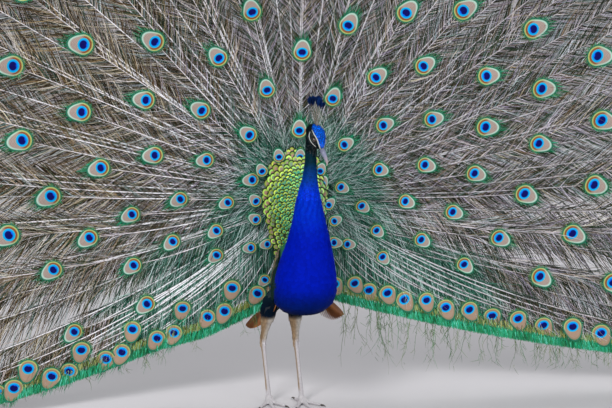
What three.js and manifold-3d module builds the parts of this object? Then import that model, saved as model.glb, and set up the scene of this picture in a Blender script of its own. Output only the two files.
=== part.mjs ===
// Indian peafowl cock, life size, standing with his train raised in a full fan.
// Millimetres, +Z up. He faces -Y, turned a little to his own left (+X).
// Each part of the body and each sector of the fan is one closed solid.
import * as THREE from 'three'
import { mergeVertices } from 'three/addons/utils/BufferGeometryUtils.js'
import Module from 'manifold-3d'

const wasm = await Module()
wasm.setup()

// ---------- driving dimensions ----------
const GAP = 0.3                     // clearance between neighbouring pieces
const HEADING = 10                  // degrees the whole bird is turned to his left
const RADIANS = Math.PI / 180

// trunk and neck
const MIDLINE = -6                  // trunk's centre plane, x, level with the hips
const MIDLINE_DRIFT = 0.11          // how far it swings to his left per step back
const TRUNK_HALF_WIDTH = 75
const TRUNK_HALF_DEPTH = 84
const TRUNK_HEIGHT = 372            // height of the trunk's axis
const BREAST_HALF_WIDTH = 87
const BREAST_BOTTOM = 275
const NECK_TOP = 756
const NECK_TOP_HALF_WIDTH = 16

// head
const HEAD_CENTRE = new THREE.Vector3(10, -104, 755)
const HEAD_TURN = 34                // degrees to his left of the trunk
const HEAD_NOD = 50                 // degrees the bill points below level
const SKULL_HALF_LENGTH = 36
const SKULL_HALF_WIDTH = 24
const SKULL_HALF_HEIGHT = 26
const BILL_ROOT = -38               // on the head's own axis, which runs back from the bill
const BILL_LENGTH = 43
const LOWER_BILL_SHARE = 0.82
const EYE_RADIUS = 6.6
const EYE_FACETS = [10, 7]
const EYE_PLACE = [17.6, -11, 1]    // to each side of, along and above the head's axis
const CREST_ROOT = [0, 21, 19.5]
const CREST_LENGTH = 72
const CREST_FEATHERS = 9
const CREST_RAKE = 46               // degrees the crest leans back from the crown's own up
const CREST_SPREAD = 52             // degrees between its first and last feather
const CREST_TIP = [1.3, 4.8, 9]     // half sizes of the vane at each shaft's end

// legs
const HIP_HEIGHT = 322
const KNEE_HEIGHT = 268
const ANKLE_HEIGHT = 173
const TOE_BASE_HEIGHT = 19
const SHANK_RADIUS = 6.4
const MIDDLE_TOE = 78
const HIND_TOE = 30
const TOE_RADIUS = 5.6
const CLAW_LENGTH = 15

// train, a dished fan of feathers about one centre
const FAN_CENTRE = new THREE.Vector3(0, 118, 412)
const FAN_RADIUS = 1240
const FAN_HOLE = 88                 // the rump passes through the fan here
const FAN_DISH = 0.12e-3            // forward curl per square millimetre of radius
const FAN_LEAN = 4                  // degrees the top leans forward
const FAN_FLATTENING = 0.03         // shorter at the top
const FAN_SKEW = 0.08               // longer up to his right, shorter up to his left
const FAN_SECTORS = 12
const FAN_ROOT_THICKNESS = 9
const FAN_TIP_THICKNESS = 1.2
const TIPS_PER_SECTOR = 3
const SAMPLES_PER_TIP = 3
const TIP_NOTCH = 52
// the lower edge on each side falls away from the fan's centre as drop + slope u - levelling u^2
const LOWER_EDGES = {
  right: { drop: 85, slope: 0.52, levelling: 0.225e-3 },
  left: { drop: 110, slope: 0.33, levelling: 0.13e-3 },
}

// scaly shield of the back, in front of the fan
const SHIELD_CENTRE = [-14, 85]     // across and above the fan's centre
const SHIELD_HALF_WIDTH = 90
const SHIELD_HALF_HEIGHT = 200
const SHIELD_SWELL = 0.35           // wider towards its top, narrower towards its foot
const SHIELD_THICKNESS = 50
const SHIELD_CLEARANCE = 3          // the fan's flat facets bow forward of its true curve

// stiff tail that props the fan from behind
const TAIL_RADIUS = 455
const TAIL_ROOT_RADIUS = 74
const TAIL_SPREAD = 250             // degrees
const TAIL_NOTCH = 20
const TAIL_SECTORS = 3
const TAIL_FEATHERS = 20
const TAIL_THICKNESS = 5
const TAIL_SET_BACK = 46

// folded wings: the coverts from shoulder to rump, the primaries drooping from them
const WING_FRONT = -78
const WING_BACK = 104
const WING_THICKNESS = 8
const WING_EDGE_THICKNESS = 2.4
const PRIMARY_COUNT = 7
const PRIMARY_THICKNESS = 4

// ---------- finishes ----------
function finish(color, roughness, metalness = 0) {
  return new THREE.MeshStandardMaterial({ color, roughness, metalness })
}

const BLUE = finish(0x0b2fb4, 0.42, 0.2)
const DARK_GREEN = finish(0x0c3f34, 0.5, 0.1)
const GOLD_GREEN = finish(0x9db24a, 0.5, 0.2)
const TRAIN = finish(0x6f7458, 0.7)
const TAIL_BROWN = finish(0x6b5b4b, 0.75)
const CHESTNUT = finish(0x8a5127, 0.7)
const BARRED = finish(0x8f8466, 0.75)
const BUFF = finish(0xa3937c, 0.8)
const SHANK = finish(0xb9b2a8, 0.65)
const HORN = finish(0x8d8a8c, 0.45)
const CLAW = finish(0x4b4440, 0.5)
const EYE = finish(0x1b0f08, 0.1)

// ---------- building closed solids ----------
function geometryOf(points, triangles) {
  const geometry = new THREE.BufferGeometry()
  const numbers = points.flatMap((p) => [p.x, p.y, p.z])
  geometry.setAttribute('position', new THREE.Float32BufferAttribute(numbers, 3))
  geometry.setIndex(triangles.flat())
  return facingOut(geometry)
}

function signedVolume(geometry) {
  const position = geometry.getAttribute('position')
  const index = geometry.getIndex()
  const corner = [0, 1, 2].map(() => new THREE.Vector3())
  let volume = 0
  for (let i = 0; i < index.count; i += 3) {
    corner.forEach((c, k) => c.fromBufferAttribute(position, index.getX(i + k)))
    volume += corner[0].dot(corner[1].clone().cross(corner[2])) / 6
  }
  return volume
}

function facingOut(geometry) {
  if (signedVolume(geometry) < 0) {
    const index = geometry.getIndex().array
    for (let i = 0; i < index.length; i += 3) {
      [index[i], index[i + 1]] = [index[i + 1], index[i]]
    }
  }
  return geometry
}

// rings of equal count, joined in order, with a fan of triangles over each end
function loft(rings) {
  const around = rings[0].length
  const points = rings.flat()
  const triangles = []
  for (let r = 0; r + 1 < rings.length; r += 1) {
    for (let i = 0; i < around; i += 1) {
      const a = r * around + i
      const b = r * around + (i + 1) % around
      triangles.push([a, b, b + around], [a, b + around, a + around])
    }
  }
  const cap = (ring, first, turned) => {
    const middle = points.length
    points.push(ring.reduce((sum, p) => sum.add(p), new THREE.Vector3()).divideScalar(around))
    for (let i = 0; i < around; i += 1) {
      const pair = [first + i, first + (i + 1) % around]
      triangles.push(turned ? [pair[1], pair[0], middle] : [pair[0], pair[1], middle])
    }
  }
  cap(rings[0], 0, true)
  cap(rings[rings.length - 1], (rings.length - 1) * around, false)
  return geometryOf(points, triangles)
}

// a thin plate: front(u, v) and back(u, v) over 0..1 squares, with walls between
function plate(front, back, across, along) {
  const points = []
  const triangles = []
  const index = (side, i, j) => side * (across + 1) * (along + 1) + j * (across + 1) + i
  for (const surface of [front, back]) {
    for (let j = 0; j <= along; j += 1) {
      for (let i = 0; i <= across; i += 1) points.push(surface(i / across, j / along))
    }
  }
  const quad = (a, b, c, d) => triangles.push([a, b, c], [a, c, d])
  for (let j = 0; j < along; j += 1) {
    for (let i = 0; i < across; i += 1) {
      quad(index(0, i, j), index(0, i + 1, j), index(0, i + 1, j + 1), index(0, i, j + 1))
      quad(index(1, i, j), index(1, i, j + 1), index(1, i + 1, j + 1), index(1, i + 1, j))
    }
  }
  for (let i = 0; i < across; i += 1) {
    quad(index(0, i + 1, 0), index(0, i, 0), index(1, i, 0), index(1, i + 1, 0))
    quad(index(0, i, along), index(0, i + 1, along), index(1, i + 1, along), index(1, i, along))
  }
  for (let j = 0; j < along; j += 1) {
    quad(index(0, 0, j), index(0, 0, j + 1), index(1, 0, j + 1), index(1, 0, j))
    quad(index(0, across, j + 1), index(0, across, j), index(1, across, j), index(1, across, j + 1))
  }
  return geometryOf(points, triangles)
}

// egg-shaped ring in the plane of the two given directions
function ring(centre, right, up, halfWidth, halfUp, halfDown, around) {
  const points = []
  for (let i = 0; i < around; i += 1) {
    const angle = (2 * Math.PI * i) / around
    const rise = Math.sin(angle) * (Math.sin(angle) > 0 ? halfUp : halfDown)
    points.push(centre.clone().addScaledVector(right, Math.cos(angle) * halfWidth).addScaledVector(up, rise))
  }
  return points
}

const X = new THREE.Vector3(1, 0, 0)
const Y = new THREE.Vector3(0, 1, 0)
const Z = new THREE.Vector3(0, 0, 1)
const at = (x, y, z) => new THREE.Vector3(x, y, z)
const mix = (a, b, t) => a + (b - a) * t

// a round limb along points, with a radius at each
function limb(path, radii, around, grow = 0) {
  const curve = new THREE.CatmullRomCurve3(path)
  const frames = path.map((point, i) => {
    const tangent = curve.getTangent(i / (path.length - 1))
    const right = new THREE.Vector3().crossVectors(tangent, Math.abs(tangent.z) > 0.8 ? Y : Z).normalize()
    const up = new THREE.Vector3().crossVectors(right, tangent).normalize()
    return ring(point, right, up, radii[i] + grow, radii[i] + grow, radii[i] + grow, around)
  })
  return loft(frames)
}

function toManifold(geometry) {
  const bare = geometry.clone()
  bare.deleteAttribute('normal')
  bare.deleteAttribute('uv')
  const merged = mergeVertices(bare, 1e-4)
  const vertProperties = new Float32Array(merged.getAttribute('position').array)
  const triVerts = new Uint32Array(merged.getIndex().array)
  return new wasm.Manifold(new wasm.Mesh({ numProp: 3, vertProperties, triVerts }))
}

function toGeometry(solid) {
  const mesh = solid.getMesh()
  const geometry = new THREE.BufferGeometry()
  geometry.setAttribute('position', new THREE.Float32BufferAttribute(mesh.vertProperties, mesh.numProp))
  geometry.setIndex(Array.from(mesh.triVerts))
  return geometry
}

// the largest of the bodies that a cut has left
function largest(solid) {
  return solid.decompose().sort((a, b) => b.volume() - a.volume())[0]
}

// the half of space beyond a plane, as a big box whose face is the plane
function beyond(point, normal) {
  const size = 3000
  const box = new THREE.BoxGeometry(size, size, size).translate(0, 0, size / 2)
  const turn = new THREE.Quaternion().setFromUnitVectors(Z, normal.clone().normalize())
  box.applyQuaternion(turn).translate(point.x, point.y, point.z)
  return toManifold(box)
}

// what of a solid lies between two planes, each held back by half the gap
function between(solid, lower, upper) {
  let piece = solid
  if (lower) {
    const normal = lower.normal.clone().normalize()
    piece = piece.intersect(beyond(lower.point.clone().addScaledVector(normal, GAP / 2), normal))
  }
  if (upper) {
    const normal = upper.normal.clone().normalize()
    piece = piece.subtract(beyond(upper.point.clone().addScaledVector(normal, -GAP / 2), normal))
  }
  return piece
}

// ---------- the body: a vertical breast and neck joined to a level trunk ----------
// each station: height, x, y, half width, reach forward, reach back
const NECK_STATIONS = [
  [BREAST_BOTTOM, -20, -50, 30, 36, 36],
  [280, -19, -54, 56, 62, 54],
  [302, -17, -57, 81, 84, 74],
  [335, -13, -62, BREAST_HALF_WIDTH, 94, 84],
  [375, -12.5, -68, 84, 93, 86],
  [420, -10.5, -74, 74.5, 83, 80],
  [470, -7.5, -82, 61, 69, 64],
  [525, -8, -90, 46.5, 52, 46],
  [580, -10, -95, 35.5, 38, 34],
  [612, -9.5, -96, 28, 31, 28],
  [642, -7, -96, 21, 25, 24],
  [690, -4, -93, 15.5, 20, 19],
  [725, -2, -90, 15.5, 19, 18],
  [NECK_TOP, -1, -88, NECK_TOP_HALF_WIDTH, 17, 17],
]

function breastAndNeck(grow = 0) {
  return loft(NECK_STATIONS.map(([height, x, y, half, fore, aft], i) => {
    const rise = i === 0 ? -grow : 0
    return ring(at(x, y, height + rise), X, at(0, -1, 0), half + grow, fore + grow, aft + grow, 20)
  }))
}

// x of the trunk's centre plane at this y
function midline(y) {
  return MIDLINE + MIDLINE_DRIFT * y
}

// each station: y, axis height above the trunk's, share of the full width and depth
const TRUNK_STATIONS = [
  [-112, 6, 0.55, 0.55],
  [-80, 3, 0.88, 0.88],
  [-30, 0, 1, 1],
  [30, 4, 1, 0.98],
  [85, 16, 0.94, 0.88],
  [125, 28, 0.82, 0.74],
  [165, 36, 0.62, 0.58],
  [200, 38, 0.4, 0.36],
]

function trunk(grow = 0) {
  return loft(TRUNK_STATIONS.map(([y, rise, wide, deep], i) => {
    const push = i === TRUNK_STATIONS.length - 1 ? grow : 0
    const half = TRUNK_HALF_WIDTH * wide + grow
    const depth = TRUNK_HALF_DEPTH * deep + grow
    return ring(at(midline(y), y + push, TRUNK_HEIGHT + rise), X, Z, half, depth, depth * 0.96, 20)
  }))
}

// head pieces are made facing -Y about the skull's centre, then nodded and turned
const headTurn = new THREE.Euler(HEAD_NOD * RADIANS, 0, HEAD_TURN * RADIANS, 'ZXY')
const headMatrix = new THREE.Matrix4().makeRotationFromEuler(headTurn).setPosition(HEAD_CENTRE)

// each station: y, height of the centre, half width, reach up, reach down
const SKULL_STATIONS = [
  [SKULL_HALF_LENGTH, -3, 7, 7, 7],
  [31, -3, 16, 16, 16],
  [18, -2, 22, 23, 20],
  [3, -1, SKULL_HALF_WIDTH, SKULL_HALF_HEIGHT, 22],
  [-11, -2, 22, 23.5, 20],
  [-23, -4, 16, 17.5, 15.5],
  [-33, -6, 10.5, 11.5, 9.5],
  [BILL_ROOT, -7, 7.6, 8.2, 7],
]

function skull(grow = 0) {
  return loft(SKULL_STATIONS.map(([y, height, half, up, down]) => (
    ring(at(0, y, height), X, Z, half + grow, up + grow, down + grow, 16)
  )))
}

// height of the line between the bill's halves, which the hooked tip closes over
function billParting(distance) {
  const t = distance / BILL_LENGTH
  const hook = Math.max(0, t - 0.84) / 0.16
  return -9 - 3 * t - 4 * t * t * t - 4 * hook * hook
}

function billHalf(upper) {
  const start = BILL_ROOT - GAP
  const steps = upper ? 8 : 5
  const length = upper ? BILL_LENGTH : BILL_LENGTH * LOWER_BILL_SHARE
  const side = upper ? 1 : -1
  const rings = []
  for (let i = 0; i <= steps; i += 1) {
    const t = i / steps
    const half = 6.6 * Math.pow(1 - t, 0.6) + 0.5
    const thickness = upper ? 8.4 * Math.pow(1 - t, 0.5) + 1 : 3.6 * Math.pow(1 - t, 0.7) + 0.6
    const centre = at(0, start - length * t, billParting(length * t) + (side * GAP) / 2)
    rings.push(ring(centre, X, Z.clone().multiplyScalar(side), half, thickness, 0.01, 12))
  }
  return loft(rings)
}

function eyeball() {
  return new THREE.SphereGeometry(EYE_RADIUS, ...EYE_FACETS)
}

function eyePlace(side) {
  return at(side * EYE_PLACE[0], EYE_PLACE[1], EYE_PLACE[2])
}

// bare shafts fanned in the head's own midplane, each with a small vane at its end
function crest() {
  const root = at(...CREST_ROOT)
  const seat = limb([at(0, 18, 14), at(0, 24, 24)], [4.6, 2.2], 8)
  let feathers = toManifold(seat)
  for (let i = 0; i < CREST_FEATHERS; i += 1) {
    const share = i / (CREST_FEATHERS - 1) - 0.5
    const rake = (CREST_RAKE + CREST_SPREAD * share) * RADIANS
    const lean = (i % 2 ? 4 : -4) * RADIANS
    const way = at(Math.sin(lean), Math.sin(rake), Math.cos(rake)).normalize()
    const length = CREST_LENGTH * (1 - 0.35 * share * share)
    const shaft = limb([root, root.clone().addScaledVector(way, length - 8)], [0.9, 0.6], 4)
    const end = root.clone().addScaledVector(way, length - 6)
    const vane = new THREE.SphereGeometry(1, 4, 4).scale(...CREST_TIP)
    vane.applyQuaternion(new THREE.Quaternion().setFromUnitVectors(Z, way))
    vane.translate(end.x, end.y, end.z)
    feathers = feathers.add(toManifold(shaft)).add(toManifold(vane))
  }
  return feathers
}

// ---------- the fan ----------
const leanCos = Math.cos(FAN_LEAN * RADIANS)
const leanSin = Math.sin(FAN_LEAN * RADIANS)

// a point of the fan by radius, azimuth and depth in front of its middle surface
function fanPoint(radius, azimuth, depth, centre = FAN_CENTRE) {
  const u = radius * Math.cos(azimuth)
  const v = radius * Math.sin(azimuth)
  const forward = FAN_DISH * radius * radius + depth
  const y = centre.y - forward * leanCos - v * leanSin
  const z = centre.z + v * leanCos - forward * leanSin
  return at(centre.x + u, y, z)
}

function fanReach(azimuth) {
  return FAN_RADIUS * (1 - FAN_FLATTENING * Math.sin(azimuth) - FAN_SKEW * Math.sin(2 * azimuth))
}

// azimuth at which a circle of this radius meets the drooping lower edge
function edgeAzimuth(radius, side) {
  const edge = LOWER_EDGES[side]
  let low = 0
  let high = radius
  for (let step = 0; step < 40; step += 1) {
    const u = (low + high) / 2
    const fall = edge.drop + edge.slope * u - edge.levelling * u * u
    if (Math.hypot(u, fall) > radius) high = u
    else low = u
  }
  const below = Math.acos(Math.min(1, low / radius))
  return side === 'left' ? -below : Math.PI + below
}

function fanAzimuth(radius, share) {
  return mix(edgeAzimuth(radius, 'left'), edgeAzimuth(radius, 'right'), share)
}

function fanThickness(radius) {
  return FAN_TIP_THICKNESS + (FAN_ROOT_THICKNESS - FAN_TIP_THICKNESS) * Math.exp(-(radius - FAN_HOLE) / 100)
}

function trainSector(number) {
  const along = (v) => Math.pow(v, 1.25)
  const surface = (side) => (u, v) => {
    const share = (number + u) / FAN_SECTORS
    const rimAzimuth = fanAzimuth(FAN_RADIUS, share)
    const lobe = Math.abs(Math.cos(Math.PI * TIPS_PER_SECTOR * u))
    const reach = fanReach(rimAzimuth) - TIP_NOTCH * lobe
    const radius = mix(FAN_HOLE, reach, along(v))
    const inset = (u === 0 ? 1 : u === 1 ? -1 : 0) * (GAP / 2 / radius)
    const azimuth = fanAzimuth(radius, share) + inset
    return fanPoint(radius, azimuth, (side * fanThickness(radius)) / 2)
  }
  return plate(surface(1), surface(-1), TIPS_PER_SECTOR * SAMPLES_PER_TIP, 3)
}

// an egg-shaped dome that stands its broad end up
function shield(grow = 0) {
  const around = 22
  const ringAt = (share, depth) => {
    const points = []
    for (let i = 0; i < around; i += 1) {
      const angle = (2 * Math.PI * i) / around
      const swell = 1 + SHIELD_SWELL * Math.sin(angle)
      const u = SHIELD_CENTRE[0] + (SHIELD_HALF_WIDTH + grow) * share * swell * Math.cos(angle)
      const v = SHIELD_CENTRE[1] + (SHIELD_HALF_HEIGHT + grow) * share * Math.sin(angle)
      points.push(fanPoint(Math.hypot(u, v), Math.atan2(v, u), depth))
    }
    return points
  }
  const seat = FAN_ROOT_THICKNESS / 2 + SHIELD_CLEARANCE - grow
  const dome = (share) => SHIELD_THICKNESS * Math.pow(1 - share * share, 0.8)
  const rise = (share) => seat + 2 + 2 * grow + dome(share)
  const back = [0.3, 1].map((share) => ringAt(share, seat))
  const front = [0.96, 0.8, 0.55, 0.25].map((share) => ringAt(share, rise(share)))
  return loft([...back, ...front])
}

function tailSector(number) {
  const spread = TAIL_SPREAD * RADIANS
  const first = Math.PI / 2 - spread / 2
  const centre = FAN_CENTRE.clone().add(at(-8, 16, 0))
  const surface = (side) => (u, v) => {
    const share = (number + u) / TAIL_SECTORS
    const lobe = Math.abs(Math.cos(Math.PI * TAIL_FEATHERS * share))
    const droop = 1 - 1.12 * (share - 0.5) * (share - 0.5)
    const radius = mix(TAIL_ROOT_RADIUS, (TAIL_RADIUS - TAIL_NOTCH * lobe) * droop, v)
    const inset = (u === 0 ? 1 : u === 1 ? -1 : 0) * (GAP / 2 / radius)
    const setBack = TAIL_SET_BACK + 15 * Math.sin(Math.PI * v)
    const depth = (side * TAIL_THICKNESS) / 2 - setBack
    return fanPoint(radius, first + spread * share + inset, depth, centre)
  }
  return plate(surface(1), surface(-1), 14, 2)
}

// ---------- wings ----------
const WINGS = {
  right: { side: -1, droop: [44, 38], flare: 100, tuck: 0 },
  left: { side: 1, droop: [44, 30], flare: 66, tuck: 44 },
}

// the folded wing narrows with the trunk towards the rump
function wingReach(u) {
  return TRUNK_HALF_WIDTH * mix(1.02, 0.86, u * u)
}

// shoulder to rump along u, upper edge to lower edge along v
function wingCoverts({ side }, grow = 0) {
  const surface = (face) => (u, v) => {
    const y = mix(WING_FRONT, WING_BACK, u)
    const upper = mix(384, 418, u) + 16 * Math.sin(Math.PI * u)
    const lower = mix(350, 306, u) - 34 * Math.sin(Math.PI * Math.pow(u, 0.8))
    const fullness = Math.sin(Math.PI * mix(0.08, 0.92, u)) * Math.sin(Math.PI * mix(0.2, 0.86, v))
    const thickness = WING_EDGE_THICKNESS + WING_THICKNESS * fullness
    const reach = wingReach(u) - 12 * (1 - v) * (1 - v) + 1 - grow
    const x = midline(y) + side * (reach + face * (thickness + 2 * grow))
    return at(x, y, mix(upper, lower - grow, v))
  }
  return plate(surface(1), surface(0), 7, 4)
}

// a fan of long flight feathers below the coverts: the first tucked under the belly, the
// last flared out to the side
function wingPrimaries({ side, droop, flare, tuck }) {
  const surface = (face) => (u, v) => {
    const lobe = Math.abs(Math.cos(Math.PI * PRIMARY_COUNT * u))
    const swing = mix(-droop[0], -droop[1], Math.pow(u, 0.8)) * RADIANS
    const length = mix(72, 178, Math.sin(Math.PI * mix(0.06, 0.6, u))) - 12 * lobe
    const y = mix(-26, 70, u) + Math.cos(swing) * length * v
    const z = mix(302, 276, u) + Math.sin(swing) * length * v
    const wide = wingReach(u) - 4 - tuck * (1 - u) + flare * v * mix(0.3, 1, u)
    const x = midline(y) + side * (wide + face * (PRIMARY_THICKNESS - 2 * v))
    return at(x, y, z)
  }
  return plate(surface(1), surface(0), PRIMARY_COUNT * 2, 3)
}

// ---------- legs ----------
// hip, knee, ankle and toe base of each leg: x, y
const LEGS = {
  right: { hip: [-76, 4], knee: [-101, 14], ankle: [-112, 54], toes: [-99, 30], turn: 4 },
  left: { hip: [-12, -2], knee: [-29, 8], ankle: [-22, 40], toes: [-10, 17], turn: 14 },
}

function thigh({ hip, knee, ankle }, grow = 0) {
  const top = at(hip[0], hip[1], HIP_HEIGHT)
  const middle = at(knee[0], knee[1], KNEE_HEIGHT)
  const bottom = at(ankle[0], ankle[1], ANKLE_HEIGHT - 5)
  const path = [top, top.clone().lerp(middle, 0.55), middle]
  for (const t of [0.35, 0.7, 1]) path.push(middle.clone().lerp(bottom, t))
  return limb(path, [25, 27, 24, 17, 10.5, 8.6], 14, grow)
}

function shank({ ankle, toes }) {
  const top = at(ankle[0], ankle[1], ANKLE_HEIGHT + 5)
  const bottom = at(toes[0], toes[1], TOE_BASE_HEIGHT)
  const path = [0, 0.08, 0.25, 0.6, 0.9, 1].map((t) => top.clone().lerp(bottom, t))
  const bone = toManifold(limb(path, [8.6, 8.4, SHANK_RADIUS + 0.4, SHANK_RADIUS, SHANK_RADIUS + 1, 8.2], 10))
  const spurRoot = top.clone().lerp(bottom, 0.68)
  const spurPath = [at(0, 0, 0), at(0, 14, 2), at(0, 26, 9)].map((step) => step.add(spurRoot))
  const spur = limb(spurPath, [4.4, 3, 0.7], 6)
  const ankleCut = { point: top.clone().setZ(ANKLE_HEIGHT), normal: Z }
  const footCut = { point: top.clone().setZ(TOE_BASE_HEIGHT + 6), normal: Z }
  return between(bone.add(toManifold(spur)), footCut, ankleCut)
}

// front toes: azimuth from straight ahead, share of the middle toe's length
const TOES = [
  { azimuth: 34, share: 0.8 },
  { azimuth: 0, share: 1 },
  { azimuth: -36, share: 0.76 },
]

function toePath(base, azimuth, length, radius) {
  const way = at(Math.sin(azimuth * RADIANS), -Math.cos(azimuth * RADIANS), 0)
  const path = []
  const radii = []
  for (let i = 0; i <= 3; i += 1) {
    const t = i / 3
    const knuckle = 0.5 * Math.cos(6 * Math.PI * t)
    radii.push(mix(radius + 1, radius - 1.7, t) + knuckle)
    const lift = Math.max(0, 1 - 3.4 * t) * (TOE_BASE_HEIGHT - radius)
    path.push(base.clone().addScaledVector(way, length * t).setZ(radii[i] * 0.82 + lift * 0.5))
  }
  return { path, radii, way }
}

function footPieces(leg, side) {
  const base = at(leg.toes[0], leg.toes[1], TOE_BASE_HEIGHT)
  const knuckle = new THREE.SphereGeometry(10.4, 10, 7).scale(1.05, 1, 0.95)
  knuckle.translate(base.x, base.y, base.z - 5)
  let foot = toManifold(knuckle)
  const hindAzimuth = 180 + leg.turn + side * 14
  const toes = TOES.map((toe) => ({ azimuth: toe.azimuth + leg.turn, length: toe.share * MIDDLE_TOE }))
  toes.push({ azimuth: hindAzimuth, length: HIND_TOE })
  const claws = []
  toes.forEach(({ azimuth, length }) => {
    const { path, radii, way } = toePath(base, azimuth, length, TOE_RADIUS)
    foot = foot.add(toManifold(limb(path, radii, 6)))
    const root = path[path.length - 1].clone().addScaledVector(way, 4 * GAP)
    const middle = root.clone().addScaledVector(way, CLAW_LENGTH * 0.55).setZ(4.2)
    const tip = root.clone().addScaledVector(way, CLAW_LENGTH).setZ(1.3)
    claws.push(limb([root, middle, tip], [3.1, 2.2, 0.7], 6))
  })
  // level soles: the toes are cut flat where they bear
  foot = foot.intersect(beyond(at(0, 0, 0), Z))
  foot = between(foot, null, { point: at(0, 0, TOE_BASE_HEIGHT + 6), normal: Z })
  return { foot, claws }
}

// ---------- assembly ----------
const bird = new THREE.Group()
bird.rotation.z = HEADING * RADIANS
const peacock = new THREE.Group()
peacock.add(bird)

function addPiece(name, shape, material) {
  const geometry = shape.isBufferGeometry ? shape : toGeometry(shape)
  const mesh = new THREE.Mesh(geometry, material)
  mesh.name = name
  bird.add(mesh)
  return mesh
}

const sculpt = (geometry) => toManifold(geometry.applyMatrix4(headMatrix))
const NECK_HEAD_JOINT = { point: at(2, -90, 726), normal: at(-0.05, -0.42, 1) }
const NECK_CUTS = [
  { point: at(-18, -82, 470), normal: Z },
  { point: at(-9, -95, 570), normal: Z },
  { point: at(-3, -95, 655), normal: Z },
  NECK_HEAD_JOINT,
]
const BREAST_BACK = { point: at(-28, -34, 372), normal: Y }
const RUMP_FRONT = { point: at(-26, 92, 390), normal: Y }

function body(grow = 0) {
  return toManifold(breastAndNeck(grow)).add(toManifold(trunk(grow)))
}

const sockets = [-1, 1].map((side) => {
  const place = eyePlace(side)
  const socket = new THREE.SphereGeometry(EYE_RADIUS + GAP, ...EYE_FACETS)
  return sculpt(socket.translate(place.x, place.y, place.z))
})
const bodySolid = body()
const skullGrown = sculpt(skull(GAP * 1.5))
const bodyGrown = body(GAP * 1.5).add(skullGrown)
const neckSolid = between(bodySolid, NECK_CUTS[0], null).subtract(skullGrown)
const trunkSolid = between(bodySolid, null, NECK_CUTS[0])
let head = sculpt(skull()).add(between(bodySolid, NECK_HEAD_JOINT, null))
sockets.forEach((socket) => { head = head.subtract(socket) })
addPiece('head', head, BLUE)
addPiece('neck_upper', between(neckSolid, NECK_CUTS[2], NECK_CUTS[3]), DARK_GREEN)
addPiece('neck_middle', between(neckSolid, NECK_CUTS[1], NECK_CUTS[2]), BLUE)
addPiece('neck_lower', between(neckSolid, null, NECK_CUTS[1]), BLUE)
addPiece('breast', between(trunkSolid, null, BREAST_BACK), BLUE)
addPiece('trunk', between(trunkSolid, BREAST_BACK, RUMP_FRONT), DARK_GREEN)
addPiece('rump', between(trunkSolid, RUMP_FRONT, null), DARK_GREEN)

addPiece('bill_upper', sculpt(billHalf(true)), HORN)
addPiece('bill_lower', sculpt(billHalf(false)), HORN)
for (const [name, side] of [['eye_right', -1], ['eye_left', 1]]) {
  const place = eyePlace(side)
  addPiece(name, eyeball().translate(place.x, place.y, place.z).applyMatrix4(headMatrix), EYE)
}
const crestSolid = toManifold(toGeometry(crest()).applyMatrix4(headMatrix))
addPiece('crest', crestSolid.subtract(bodyGrown), DARK_GREEN)

const shieldGrown = toManifold(shield(GAP))
addPiece('back_shield', toManifold(shield()).subtract(bodyGrown), GOLD_GREEN)
for (let number = 0; number < FAN_SECTORS; number += 1) {
  addPiece(`train_${String(number + 1).padStart(2, '0')}`, trainSector(number), TRAIN)
}
for (let number = 0; number < TAIL_SECTORS; number += 1) {
  addPiece(`tail_${number + 1}`, toManifold(tailSector(number)).subtract(bodyGrown), TAIL_BROWN)
}

for (const [side, wing] of Object.entries(WINGS)) {
  const inTheWay = bodyGrown.add(toManifold(thigh(LEGS[side], GAP)))
  const covertsGrown = toManifold(wingCoverts(wing, GAP))
  const coverts = toManifold(wingCoverts(wing)).subtract(inTheWay).subtract(shieldGrown)
  const primaries = toManifold(wingPrimaries(wing)).subtract(inTheWay).subtract(covertsGrown)
  addPiece(`wing_${side}_coverts`, largest(coverts), BARRED)
  addPiece(`wing_${side}_primaries`, largest(primaries), CHESTNUT)
}

for (const [side, leg] of Object.entries(LEGS)) {
  const ankleCut = { point: at(0, 0, ANKLE_HEIGHT), normal: Z }
  addPiece(`thigh_${side}`, between(toManifold(thigh(leg)).subtract(bodyGrown), ankleCut, null), BUFF)
  addPiece(`shank_${side}`, shank(leg), SHANK)
  const { foot, claws } = footPieces(leg, side === 'right' ? -1 : 1)
  addPiece(`foot_${side}`, foot, SHANK)
  claws.forEach((claw, i) => addPiece(`claw_${side}_${i + 1}`, claw, CLAW))
}

// the origin is under the middle of the whole bird's box, on the floor
peacock.updateMatrixWorld(true)
const box = new THREE.Box3().setFromObject(peacock, true)
const middle = box.getCenter(new THREE.Vector3())
bird.position.set(-middle.x, -middle.y, -box.min.z)

export default peacock
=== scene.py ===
import math

import bmesh
import bpy
import numpy as np
from mathutils import Euler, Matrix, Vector
from mathutils.bvhtree import BVHTree


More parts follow.
